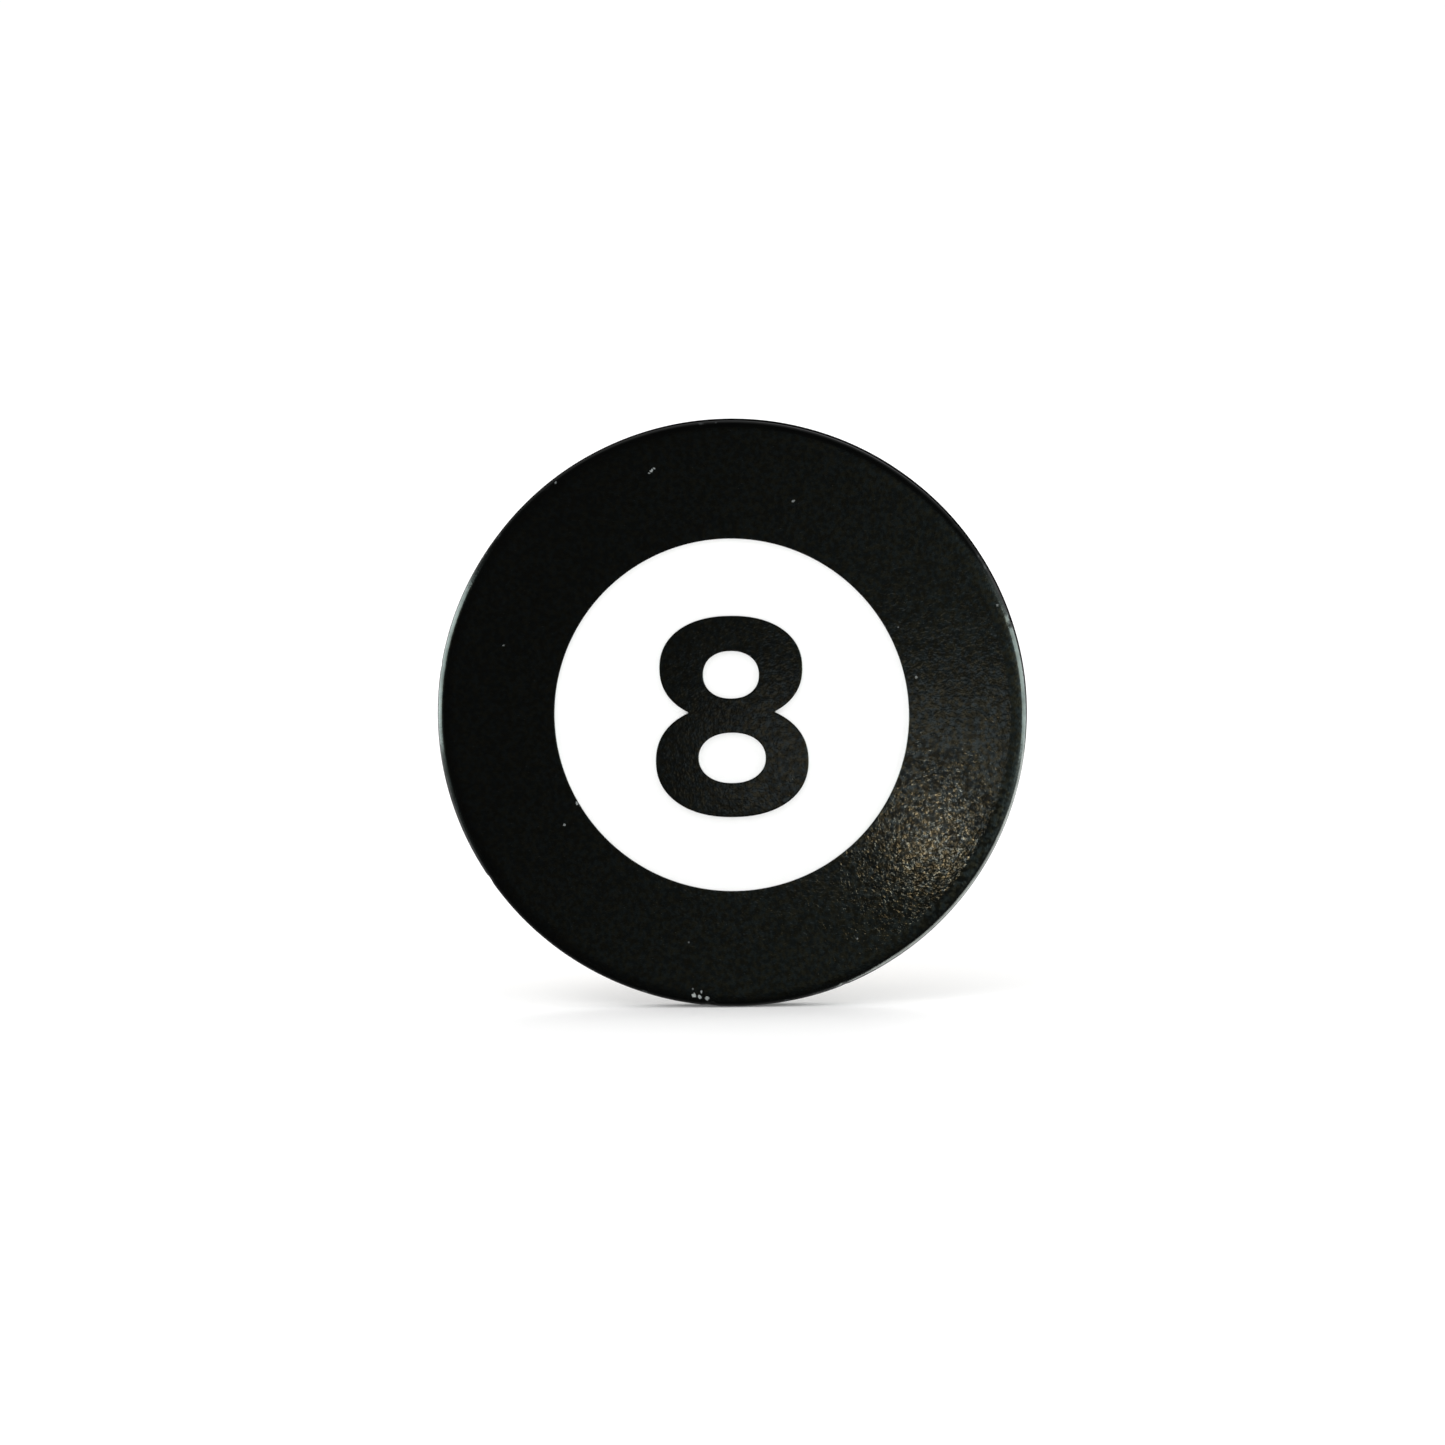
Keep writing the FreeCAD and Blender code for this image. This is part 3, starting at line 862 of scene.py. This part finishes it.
def field_piece():
    build = Build()
    outer = DIRECTIONS * (CELL_R + FILL_OVERLAP)
    inner = offset(OUTLINE, -FILL_OVERLAP)
    rings = []
    for share in ease(30):
        points = []
        for i, (x, z) in enumerate(inner + (outer - inner) * share):
            if share < 1e-9:
                distance = 0.0
            else:
                # the nearest outline point lies within 60 steps either way
                near = OUTLINE[np.arange(i - 60, i + 61) % TURN_COUNT]
                distance = float(np.min(np.hypot(near[:, 0] - x, near[:, 1] - z)))
            distance = max(0.0, min(distance, CELL_R - math.hypot(x, z)))
            points.append((x, enamel_top(distance, x, z), z))
        rings.append(build.ring(points))
    floor_inner = build.ring(at_y(inner, FLOOR_Y))
    floor_outer = build.ring(at_y(outer, FLOOR_Y))
    build.loft_all(rings)
    build.loft_all([rings[0], floor_inner, floor_outer, rings[-1]])
    make_fill(build, "white_enamel_field")


def eye_piece(oval, node):
    build = Build()
    centre = [0, oval.centre_z]
    edge = offset(eye_loop(oval, 240), FILL_OVERLAP)
    spokes = edge - centre
    reaches = np.hypot(spokes[:, 0], spokes[:, 1])
    rings = []
    for share in (1.0, 0.985, 0.965, 0.94, 0.91, 0.87, 0.82, 0.75, 0.66, 0.54, 0.40, 0.24, 0.10):
        points = []
        for (x, z), reach in zip(spokes * share + centre, reaches):
            points.append((x, enamel_top(max(0.0, reach * (1 - share)), x, z), z))
        rings.append(build.ring(points))
    build.loft_all(rings)
    middle_y = enamel_top(1.0, 0, oval.centre_z)
    build.fan(rings[-1], build.point((0, middle_y, oval.centre_z)))
    low = build.ring(at_y(edge, FLOOR_Y))
    build.loft(rings[0], low)
    build.fan(low, build.point((0, FLOOR_Y, oval.centre_z)))
    make_fill(build, node)


field_piece()
eye_piece(EYE_UP, "white_enamel_upper_eye")
eye_piece(EYE_LOW, "white_enamel_lower_eye")


# ------------------------------------------------------------------ post and solder
def post_piece():
    build = Build()
    # (radius, y): foot, root fillet, shaft, groove, land, tip
    profile = [(0.0, -SEAT_DEPTH), (1.0, -SEAT_DEPTH), (POST_FOOT_R, -SEAT_DEPTH),
               (POST_FOOT_R, POST_FOOT_TOP - 0.08)]
    profile += arc_about((POST_FOOT_R - 0.06, POST_FOOT_TOP - 0.06), 0.06, 0, 90, 5)
    profile += [(radius, POST_FOOT_TOP) for radius in (POST_FOOT_R - 0.12, 1.2, 0.9)]
    profile += arc_about((POST_R + POST_ROOT, POST_FOOT_TOP + POST_ROOT), POST_ROOT, 270, 180, 8)
    profile += [(POST_R, y) for y in (0.5, 1.5, 2.5, 3.5, 4.5, 5.3, 5.54)]
    profile += [
        (POST_R - 0.006, 5.585), (POST_R - 0.02, 5.61),
        (GROOVE_R + 0.02, 5.80), (GROOVE_R + 0.004, 5.83), (GROOVE_R, 5.87),
        (GROOVE_R, 6.10), (GROOVE_R + 0.004, 6.14), (GROOVE_R + 0.02, 6.165),
        (POST_R - 0.02, 6.285), (POST_R - 0.005, 6.305),
        (POST_R, 6.34), (POST_R, 6.6), (POST_R, 6.88),
    ]
    profile += arc_through((POST_R, LAND_END), (0.345, 7.62), (0.085, POST_TIP - 0.06), 16)
    profile += [(0.066, POST_TIP - 0.028), (0.036, POST_TIP - 0.008), (0.0, POST_TIP)]
    build.lathe(profile, 128)
    make("pin_post_turned", build, POST, node="pin_post", body="badge")


def solder_piece():
    """A lumpy ring of solder between the post's foot and the seat."""
    build = Build()
    inner = POST_FOOT_R - 0.01
    profile = [(inner, -SEAT_DEPTH), (2.0, -SEAT_DEPTH), (SEAT_R - 0.005, -SEAT_DEPTH),
               (SEAT_R - 0.01, -0.055)]
    # how each station varies: radius by ripple, y by wave, y by ripple, ceiling of y
    uneven = [(0, 0, 0, 0)] * 3 + [(0, 0.035, 0, -0.035)]
    for k in range(5):
        share = k / 4
        radius = 2.25 - (2.25 - POST_FOOT_R - 0.02) * share
        profile.append((radius, -0.085 - 0.02 * math.sin(share * math.pi) + 0.085 * share**1.6))
        uneven.append((0.02, 0.030, 0.012, 0.02))
    profile.append((inner, 0.005))
    uneven.append((0, 0.022, 0, 0.030))

    def lumpy(index, radius, y, angle):
        x = math.sin(angle)
        z = math.cos(angle)
        wave = wobble(x, 0, z, scale=2.2, seed=5.0)
        ripple = wobble(x, 0, z, scale=6.0, seed=8.0)
        out_ripple, y_wave, y_ripple, ceiling = uneven[index]
        return radius + out_ripple * ripple, min(ceiling, y + y_wave * wave + y_ripple * ripple)

    build.lathe(profile, 220, closed_profile=True, tune=lumpy)
    make("post_solder_fillet", build, SOLDER,
         node="post_solder", body="badge", sharp=60)


post_piece()
solder_piece()


# ------------------------------------------------------------------ clutch base
def bead(radius):
    """Height of the round bead pressed into the base."""
    return 0.055 * math.exp(-((radius - 3.25) / 0.22) ** 2)


def crimped(_index, radius, y, angle):
    """The crimp drew the lip in unevenly."""
    lip_edge = 5.42
    if y > GAP + 0.60 and radius < lip_edge:
        weight = min(1.0, (lip_edge - radius) / 0.30)
        folds = 0.022 * math.sin(18 * angle) * (0.6 + 0.4 * math.sin(3 * angle + 1.0))
        radius += weight * (folds + 0.010)
        if y > GAP + 0.85:
            y -= weight * 0.012 * (0.5 + 0.5 * math.sin(18 * angle + 0.4))
    return radius, y


def base_piece():
    build = Build()
    web_radii = [1.1, 1.6, 2.2, 2.6, 2.8, 2.9, 3.0, 3.08, 3.16, 3.25, 3.34, 3.42, 3.5, 3.6, 3.7,
                 3.9, 4.4, 4.9, 5.2]
    inside_r = CLUTCH_R - SHEET
    # cloth side, from the hole outwards
    profile = [(BASE_HOLE_R, GAP + SHEET - 0.05), (BASE_HOLE_R, GAP + 0.20)]
    profile += arc_about((BASE_HOLE_R + 0.16, GAP + 0.16), 0.16, 180, 270, 8)
    profile += [(radius, GAP + bead(radius)) for radius in web_radii]
    profile += arc_about((CLUTCH_R - 0.45, GAP + 0.45), 0.45, 270, 360, 14)
    # outer wall and the lip turned in
    profile += [(CLUTCH_R, GAP + 0.55), (CLUTCH_R, GAP + 0.67)]
    profile += arc_about((CLUTCH_R - 0.30, GAP + 0.67), 0.30, 12, 90, 10)
    profile += [(radius, GAP + LIP_H1) for radius in (5.40, 5.28, LIP_R + 0.16)]
    profile += arc_about((LIP_R + 0.155, GAP + (LIP_H0 + LIP_H1) / 2), 0.155, 90, 270, 12)
    # inside, back to the hole
    profile += [(LIP_R + 0.25, GAP + LIP_H0), (inside_r - 0.05, GAP + LIP_H0),
                (inside_r, GAP + LIP_H0 - 0.05), (inside_r, GAP + 0.45)]
    profile += arc_about((inside_r - 0.15, GAP + 0.45), 0.15, 0, -90, 5)[1:]
    profile += [(radius, GAP + SHEET + bead(radius)) for radius in reversed(web_radii[:-1])]
    profile += arc_about((BASE_HOLE_R + 0.05, GAP + SHEET - 0.05), 0.05, 90, 180, 4)[:-1]
    build.lathe(profile, 320, closed_profile=True, tune=crimped)
    make("clutch_base_crimped", build, BRASS,
         node="clutch_base", body="clutch_base")


base_piece()

# ------------------------------------------------------------------ clutch cap
CAP_MID = SHEET / 2  # from a face of the sheet to its middle
CAP_BEND = (CAP_R0 + 0.25, CAP_FLANGE_H + SHEET + 0.25)  # bend between flange and wall
CAP_WALL_END = CAP_TOP - CAP_CORNER
LOBE_STEPS = 72
WINDOW_STEPS = 72


def cap_wall(height):
    """(radius, height) of the middle of the cap's leaning wall."""
    share = (height - CAP_BEND[1]) / (CAP_WALL_END - CAP_BEND[1])
    return CAP_R0 - CAP_MID + (CAP_R1 - CAP_R0) * share, height


def lobe_angles(radius):
    """Angles across the lobe of wall between the two windows, centred on +Z."""
    edge = math.acos(min(1.0, WINDOW_HALF / radius))
    return np.linspace(-edge, edge, LOBE_STEPS + 1)


def cap_ring(build, radius, height, angles):
    return build.ring([(radius * math.sin(a), GAP + height, radius * math.cos(a)) for a in angles])


def strap_edge(start_x, side):
    """(x, z) from a lobe's end along the window, down the strap and out to the other lobe.

    side is 1 for the window at +X, walked from +Z to -Z, and -1 for the opposite one.
    """
    corner = 0.28
    inner_x = side * WINDOW_X0
    half = [(x, side * WINDOW_HALF)
            for x in np.linspace(start_x, inner_x + side * corner, 10)[1:-1]]
    for k in range(9):
        angle = math.radians(90 * k / 8)
        half.append((inner_x + side * corner * (1 - math.sin(angle)),
                     side * (WINDOW_HALF - corner * (1 - math.cos(angle)))))
    run = side * (WINDOW_HALF - corner)
    straight = [(inner_x, z) for z in np.linspace(run, -run, 26)[1:-1]]
    return half + straight + [(x, -z) for x, z in reversed(half)]


def cap_sheet():
    build = Build()
    # flange, bend and the wall up to the windows' sill
    low = [(radius, CAP_FLANGE_H + CAP_MID) for radius in (CAP_FLANGE_R, 5.15, 4.9, 4.65, 4.45)]
    low += arc_about(CAP_BEND, 0.40, 270, 180, 9)
    low += [cap_wall(WINDOW_H0 - 0.16), cap_wall(WINDOW_H0)]
    lobe = lobe_angles(cap_wall(WINDOW_H0)[0])
    window = np.linspace(lobe[-1], math.pi - lobe[-1], WINDOW_STEPS + 1)[1:-1]
    around = np.concatenate([lobe, window, lobe + math.pi, window + math.pi])
    build.loft_all([cap_ring(build, radius, height, around) for radius, height in low])
    # the two lobes of wall, up to the flat top
    high = [cap_wall(height) for height in np.linspace(WINDOW_H0, CAP_WALL_END, 12)]
    high += arc_about((CAP_R1 - CAP_CORNER, CAP_WALL_END), CAP_CORNER - CAP_MID, 0, 90, 10)[1:]
    lobe_tops = []
    for turn in (0.0, math.pi):
        rings = [cap_ring(build, radius, height, lobe_angles(radius) + turn)
                 for radius, height in high]
        build.loft_all(rings, closed=False)
        lobe_tops.append(rings[-1])
    # outline of the flat top: lobe, strap edge, lobe, strap edge
    y = GAP + CAP_TOP - CAP_MID
    outline = []
    outline_ids = []
    for side, top in zip((1, -1), lobe_tops):
        outline += [(build.verts[i][0], build.verts[i][2]) for i in top]
        strap = strap_edge(outline[-1][0], side)
        outline += strap
        outline_ids += top + build.ring(at_y(strap, y))
    hole = np.array([(CAP_HOLE_R * math.sin(TAU * i / 72), CAP_HOLE_R * math.cos(TAU * i / 72))
                     for i in range(72)])
    hole_rim = hole * ((CAP_HOLE_R + 0.12) / CAP_HOLE_R)
    hole_ids = build.ring(at_y(hole, y))
    rim_ids = build.ring(at_y(hole_rim, y))
    build.loft(hole_ids, rim_ids)
    fill_flat(build, [np.array(outline), hole_rim], [outline_ids, rim_ids], y,
              pitch=0.26, margin=0.13)
    return build


def ear_sheet(side_x, side_z):
    """One bent-down ear with its pivot hole, as a sheet in the plane of its middle."""
    build = Build()
    z = side_z * (WINDOW_HALF + EAR_T / 2)
    top = CAP_TOP - SHEET / 2 - PIVOT_H
    hole = []
    outer = []
    for i in range(72):
        cosine = math.cos(TAU * i / 72)
        sine = math.sin(TAU * i / 72)
        hole.append((EAR_HOLE_R * cosine, EAR_HOLE_R * sine))
        # round below the pivot, straight-sided above it up into the top plate
        reach = EAR_R
        if sine > 0:
            reach = min(EAR_R / max(abs(cosine), 1e-9), top / max(sine, 1e-9))
        outer.append((reach * cosine, reach * sine))
    rings = []
    for share in (0.0, 0.22, 0.5, 0.78, 1.0):
        rings.append(build.ring([
            (side_x * (PIVOT_X + hole_x + (out_x - hole_x) * share),
             GAP + PIVOT_H + hole_y + (out_y - hole_y) * share, z)
            for (hole_x, hole_y), (out_x, out_y) in zip(hole, outer)]))
    build.loft_all(rings)
    return build


def cap_piece():
    build = thicken(cap_sheet(), SHEET, bevel=0.055, segments=3)
    for side_x in (1, -1):
        for side_z in (1, -1):
            build.join(thicken(ear_sheet(side_x, side_z), EAR_T, bevel=0.045, segments=2))
    make("clutch_cap_stamped", build, BRASS,
         node="clutch_cap", body="clutch_cap", weld=0)


cap_piece()

# ------------------------------------------------------------------ wings
# Centre line of the right wing from the jaw to the finger tip: x, height
WING_LINE = [
    (0.70, JAW_H), (1.00, JAW_H), (1.26, JAW_H + 0.06), (1.45, JAW_H + 0.22),
    (1.54, JAW_H + 0.46), (1.55, 1.90), (PIVOT_X, PIVOT_H), (1.60, 2.70), (1.74, 3.12),
    (2.02, 3.58), (2.46, 4.08), (3.05, 4.62), (3.72, 5.18), (4.42, 5.76),
    (5.05, WING_TOP - 0.10),
]
RIB_HEIGHTS = (5.30, 5.80, 4.80)


def spline(points, count):
    """Even points on a smooth curve through the given ones."""
    knots = np.array(points, float)
    times = np.concatenate([[0], np.cumsum(np.sqrt(np.hypot(*np.diff(knots, axis=0).T)))])
    slopes = np.gradient(knots, times, axis=0)
    curve = []
    for time in np.linspace(0, times[-1], 2000):
        k = min(len(times) - 2, int(np.searchsorted(times, time, "right") - 1))
        span = times[k + 1] - times[k]
        s = (time - times[k]) / span
        curve.append((2 * s**3 - 3 * s**2 + 1) * knots[k]
                     + (s**3 - 2 * s**2 + s) * span * slopes[k]
                     + (-2 * s**3 + 3 * s**2) * knots[k + 1]
                     + (s**3 - s**2) * span * slopes[k + 1])
    curve = np.array(curve)
    length = np.concatenate([[0], np.cumsum(np.hypot(*np.diff(curve, axis=0).T))])
    even = np.linspace(0, length[-1], count)
    return np.stack([np.interp(even, length, curve[:, 0]), np.interp(even, length, curve[:, 1])], 1)


def wing_half(height, tip_height):
    """Half width of the wing at a height above the cloth face."""
    if height < 1.95:
        half = ARM_HALF + (NECK_HALF - ARM_HALF) * smooth((height - 1.70) / 0.25)
    elif height < 3.30:
        half = NECK_HALF
    else:
        half = NECK_HALF + (WING_HALF - NECK_HALF) * smooth((height - 3.25) / (5.30 - 3.25))
    corner_start = tip_height - WING_CORNER
    if height > corner_start:
        share = min(1.0, (height - corner_start) / WING_CORNER)
        turned_in = WING_CORNER * (1 - math.sqrt(max(0.0, 1 - share * share)))
        half = min(half, WING_HALF - turned_in)
    return half


def wing_relief(height, z):
    """How far the pressed shapes move the sheet away from the post."""
    relief = 0.0
    if height > 3.9:
        # grip ribs and a shallow thumb dish on the finger wing
        for rib_height in RIB_HEIGHTS:
            rib = math.exp(-((height - rib_height) / 0.105) ** 2)
            relief += 0.085 * rib * smooth((2.15 - abs(z)) / 0.30)
        relief -= 0.10 * (z / WING_HALF) ** 2 * smooth((height - 3.9) / 1.6)
    # stiffening fold along the middle of the neck
    fold = smooth((height - 2.75) / 0.5) * smooth((4.45 - height) / 0.5)
    return relief + 0.07 * fold * math.exp(-(z / 0.42) ** 2)


def wing_sheet():
    build = Build()
    line = spline(WING_LINE, 84)
    tangents = np.gradient(line, axis=0)
    tangents /= np.linalg.norm(tangents, axis=1)[:, None]
    tip = line[-1] + tangents[-1] * 0.17
    line = np.vstack([line, tip])
    tangents = np.vstack([tangents, tangents[-1]])
    across = np.linspace(-1, 1, 57)
    rings = []
    # jaw plate: from the half-round notch to the first row
    for share in np.linspace(0, 1, 9)[:-1]:
        points = []
        for z in across * ARM_HALF:
            notch = math.sqrt(max(0.0, JAW_BORE_R**2 - z * z))
            jaw_x = max(JAW_GAP, notch)
            points.append((jaw_x + (line[0][0] - jaw_x) * share, GAP + JAW_H, z))
        rings.append(build.ring(points))
    for centre, tangent in zip(line, tangents):
        height = centre[1]
        away = np.array([tangent[1], -tangent[0]])  # outwards, away from the post
        points = []
        for z in across * wing_half(height, tip[1]):
            x, raised = centre + away * wing_relief(height, z)
            points.append((x, GAP + raised, z))
        rings.append(build.ring(points))
    build.loft_all(rings, closed=False)
    return build


def trunnion(side_z):
    """One pivot pin at the wing's neck."""
    build = Build()
    profile = [(0.0, 1.55), (TRUNNION_R, 1.55), (TRUNNION_R, 1.9), (TRUNNION_R, 2.30)]
    profile += arc_about((TRUNNION_R - 0.05, TRUNNION_END - 0.05), 0.05, 0, 90, 3)
    profile += [(0.0, TRUNNION_END)]
    build.lathe(profile, 40)
    # lay the turned pin along Z
    build.verts = [(x + PIVOT_X, z + GAP + PIVOT_H, side_z * y) for x, y, z in build.verts]
    return build


def wing_pieces():
    right = thicken(wing_sheet(), WING_T, bevel=0.06, segments=3)
    for side_z in (1, -1):
        right.join(trunnion(side_z))
    for side, build in (("right", right), ("left", right.mirrored_x())):
        make(f"clutch_wing_{side}_stamped", build, BRASS_WING,
             node=f"clutch_wing_{side}", body=f"wing_{side}", weld=0)


wing_pieces()


# ------------------------------------------------------------------ ring spring
def spring_frame(angle):
    """Centre of the wire, direction along it and direction away from the post."""
    sine = math.sin(angle)
    cosine = math.cos(angle)
    centre = Vector((RING_R * sine, GAP + RING_H, RING_R * cosine))
    return centre, Vector((cosine, 0, -sine)), Vector((sine, 0, cosine))


def ring_piece():
    build = Build()
    start = math.radians(RING_GAP / 2)
    end = TAU - start
    steps = 220
    wire_steps = 20
    caps = [(math.sin(math.radians(a)), math.cos(math.radians(a))) for a in (75, 50, 25)]
    # sections: angle, share of the wire's radius, shift along the wire
    sections = [(start, scale, -out * RING_WIRE) for out, scale in caps]
    sections += [(start + (TAU - 2 * start) * i / steps, 1.0, 0.0) for i in range(steps + 1)]
    sections += [(end, scale, out * RING_WIRE) for out, scale in reversed(caps)]
    rings = []
    for angle, scale, shift in sections:
        centre, along, outward = spring_frame(angle)
        centre += along * shift
        points = []
        for j in range(wire_steps):
            turn = TAU * j / wire_steps
            spoke = outward * math.cos(turn) + Vector((0, 1, 0)) * math.sin(turn)
            points.append(centre + spoke * RING_WIRE * scale)
        rings.append(build.ring(points))
    build.loft_all(rings)
    for ring, angle, side in ((rings[0], start, -1), (rings[-1], end, 1)):
        centre, along, _ = spring_frame(angle)
        build.fan(ring, build.point(centre + along * (side * RING_WIRE)))
    make("jaw_ring_spring_wire", build, STEEL, node="jaw_ring_spring", body="clutch_cap",
         sharp=60, weighted=False)


ring_piece()


# ------------------------------------------------------------------ studio (in metres)
def studio_floor():
    mesh = bpy.data.meshes.new("studio_floor")
    half = 4.0
    z = -(BADGE_R + 0.02) * MM  # just under the rim
    corners = [(-half, -half, z), (half, -half, z), (half, half, z), (-half, half, z)]
    mesh.from_pydata(corners, [], [(0, 1, 2, 3)])
    obj = bpy.data.objects.new("studio_floor", mesh)
    bpy.context.scene.collection.objects.link(obj)
    material, place = new_material("studio_floor")
    soft = place.noise(scale=0.02, detail=2.0)
    color = soft.mix_color((0.93, 0.93, 0.928, 1), (0.95, 0.95, 0.948, 1))
    principled(material, Base_Color=color, Roughness=0.9, Specular_IOR_Level=0.0,
               Emission_Color=WHITE, Emission_Strength=0.08)
    mesh.materials.append(material)
    obj.visible_glossy = False


def studio_world():
    """An even white room, with a separate one that only shiny surfaces see."""
    world = bpy.data.worlds.new("studio")
    bpy.context.scene.world = world
    world.use_nodes = True
    tree = world.node_tree
    tree.nodes.clear()
    coords, = sources(tree, "ShaderNodeTexCoord", "Generated")
    x, y, z = coords.vector("NORMALIZE").split()
    glossy, camera = sources(tree, "ShaderNodeLightPath", "Is Glossy Ray", "Is Camera Ray")

    # behind the badge: a pale room with a bright top
    top = z.ramp(start=0.25, end=0.85)
    sides = abs(x).ramp(start=0.70, end=0.97)
    bottom = z.ramp(start=-0.05, end=-0.5)
    room = 0.22 + top * 1.2 + sides * 0.8 + bottom * 0.35

    # in front of it: a darker room, lighter at both sides
    panels = abs(x).ramp(start=0.66, end=0.82) * abs(z).ramp(start=0.50, end=0.22)
    glow = x.ramp(start=0.12, end=0.70) * abs(z + 0.1).ramp(start=0.60, end=0.10)
    dark = 0.060 + panels * 0.9 + glow * 0.8
    straight_ahead = (y * -1.0).ramp(start=0.80, end=0.96)
    dark = straight_ahead.mix(dark, x.ramp(start=-0.45, end=0.30, low=0.12, high=0.28))

    behind = y.ramp(start=-0.08, end=0.38)
    strength = camera.mix(glossy.mix(1.0, behind.mix(dark, room)), 1.02)
    tint = behind.mix_color((0.82, 1.0, 0.94, 1), WHITE)
    color = camera.mix_color(glossy.mix_color(WHITE, tint), WHITE)
    background = add_node(tree, "ShaderNodeBackground", {"Color": color, "Strength": strength})
    output = add_node(tree, "ShaderNodeOutputWorld")
    tree.links.new(background.outputs[0], output.inputs["Surface"])


studio_floor()
studio_world()


def face_point(x_mm, z_mm):
    return Vector((x_mm * MM, FACE_Y * MM, z_mm * MM))


# The camera stands a little above and to the right of the face's axis
CAMERA_AZIMUTH = math.radians(2.5)
CAMERA_ELEVATION = math.radians(6.5)
CAMERA_ROLL = math.radians(-0.9)
CAMERA_DISTANCE = 0.350
VIEW_WIDTH = 0.06117697  # width of the picture at the face
SENSOR_WIDTH = 36.0  # millimetres
# shift of the lens, in shares of the picture's width
LENS_SHIFT_X = -0.0062283737
LENS_SHIFT_Y = -0.0049134948
FACE_CENTRE = face_point(0, 0)
CAMERA_PLACE = FACE_CENTRE + CAMERA_DISTANCE * Vector((
    math.sin(CAMERA_AZIMUTH) * math.cos(CAMERA_ELEVATION),
    -math.cos(CAMERA_AZIMUTH) * math.cos(CAMERA_ELEVATION),
    math.sin(CAMERA_ELEVATION)))


def mirror_spot(x_mm, z_mm, reach):
    """Where a lamp stands so that its reflection shows at a point of the face."""
    point = face_point(x_mm, z_mm)
    view = (CAMERA_PLACE - point).normalized()
    return point + Vector((-view.x, view.y, -view.z)) * reach


# The struck plate alone, for the lamps that light nothing else
PLATE_ONLY = bpy.data.collections.new("plate_only")
PLATE_ONLY.objects.link(bpy.data.objects["badge_plate_struck"])


def add_lamp(name, kind, place, watts, color, plate_only):
    light = bpy.data.lights.new(name, kind)
    light.energy = watts
    light.color = color
    obj = bpy.data.objects.new(name, light)
    obj.location = place
    bpy.context.scene.collection.objects.link(obj)
    obj.visible_camera = False
    if plate_only:
        obj.light_linking.receiver_collection = PLATE_ONLY
        obj.light_linking.blocker_collection = PLATE_ONLY
    return obj


def area(name, place, size, watts, target=(0, 0, 0), color=(1, 1, 1), size_y=None,
         glossy=True, plate_only=False):
    obj = add_lamp(name, "AREA", place, watts, color, plate_only)
    light = obj.data
    light.size = size
    light.spread = math.pi
    if size_y:
        light.shape = "RECTANGLE"
        light.size_y = size_y
    obj.rotation_euler = (Vector(target) - Vector(place)).to_track_quat("-Z", "Y").to_euler()
    obj.visible_glossy = glossy


def glint(name, place, radius, watts, color):
    """A small point lamp that shows as a highlight on the plate."""
    obj = add_lamp(name, "POINT", place, watts, color, plate_only=True)
    obj.data.shadow_soft_size = radius


CLUTCH_TARGET = (0, 0.004, 0)
area("key_softbox", (-0.22, -0.30, 0.34), size=0.22, watts=0.36, glossy=False)
area("fill_softbox", (0.34, -0.12, 0.16), size=0.20, watts=0.16, glossy=False)
area("back_softbox", (0.14, 0.34, 0.26), size=0.25, watts=0.32, target=CLUTCH_TARGET)
area("back_strip", (-0.30, 0.24, 0.05), size=0.05, size_y=0.30, watts=0.16,
     target=CLUTCH_TARGET)
glint("lamp_warm", mirror_spot(8.45, -5.65, reach=0.025), radius=0.0008, watts=0.00040,
      color=(1.0, 0.86, 0.62))
glint("lamp_cool", mirror_spot(9.0, -4.9, reach=0.016), radius=0.0004, watts=0.00005,
      color=(0.80, 0.88, 1.0))
area("panel_left", (-0.35, 0.015, 0.03), size=0.34, size_y=0.20, watts=1.30,
     color=(0.82, 1.0, 0.95), plate_only=True)
area("panel_right", (0.35, -0.02, -0.005), size=0.36, size_y=0.17, watts=1.00,
     color=(0.82, 1.0, 0.94), plate_only=True)
area("panel_right_low", (0.28, 0.12, -0.26), size=0.24, size_y=0.42, watts=1.70,
     color=(0.93, 1.0, 0.94), plate_only=True)
area("lamp_haze", mirror_spot(6.3, -1.7, reach=0.030), size=0.0160, size_y=0.0060,
     watts=0.00016, target=face_point(6.3, -1.7), color=(0.97, 0.99, 1.0), plate_only=True)


def add_camera():
    data = bpy.data.cameras.new("camera")
    camera = bpy.data.objects.new("camera", data)
    bpy.context.scene.collection.objects.link(camera)
    data.sensor_width = SENSOR_WIDTH
    data.lens = SENSOR_WIDTH * CAMERA_DISTANCE / VIEW_WIDTH
    data.clip_start = 0.005
    data.clip_end = 20.0
    data.shift_x = LENS_SHIFT_X
    data.shift_y = LENS_SHIFT_Y
    camera.location = CAMERA_PLACE
    camera.rotation_mode = "QUATERNION"
    look = (FACE_CENTRE - CAMERA_PLACE).to_track_quat("-Z", "Y")
    camera.rotation_quaternion = look @ Matrix.Rotation(CAMERA_ROLL, 4, "Z").to_quaternion()
    bpy.context.scene.camera = camera


add_camera()

view = bpy.context.scene.view_settings
view.view_transform = "Standard"
view.look = "None"
view.exposure = 0.0
view.gamma = 1.0

bpy.context.view_layer.update()
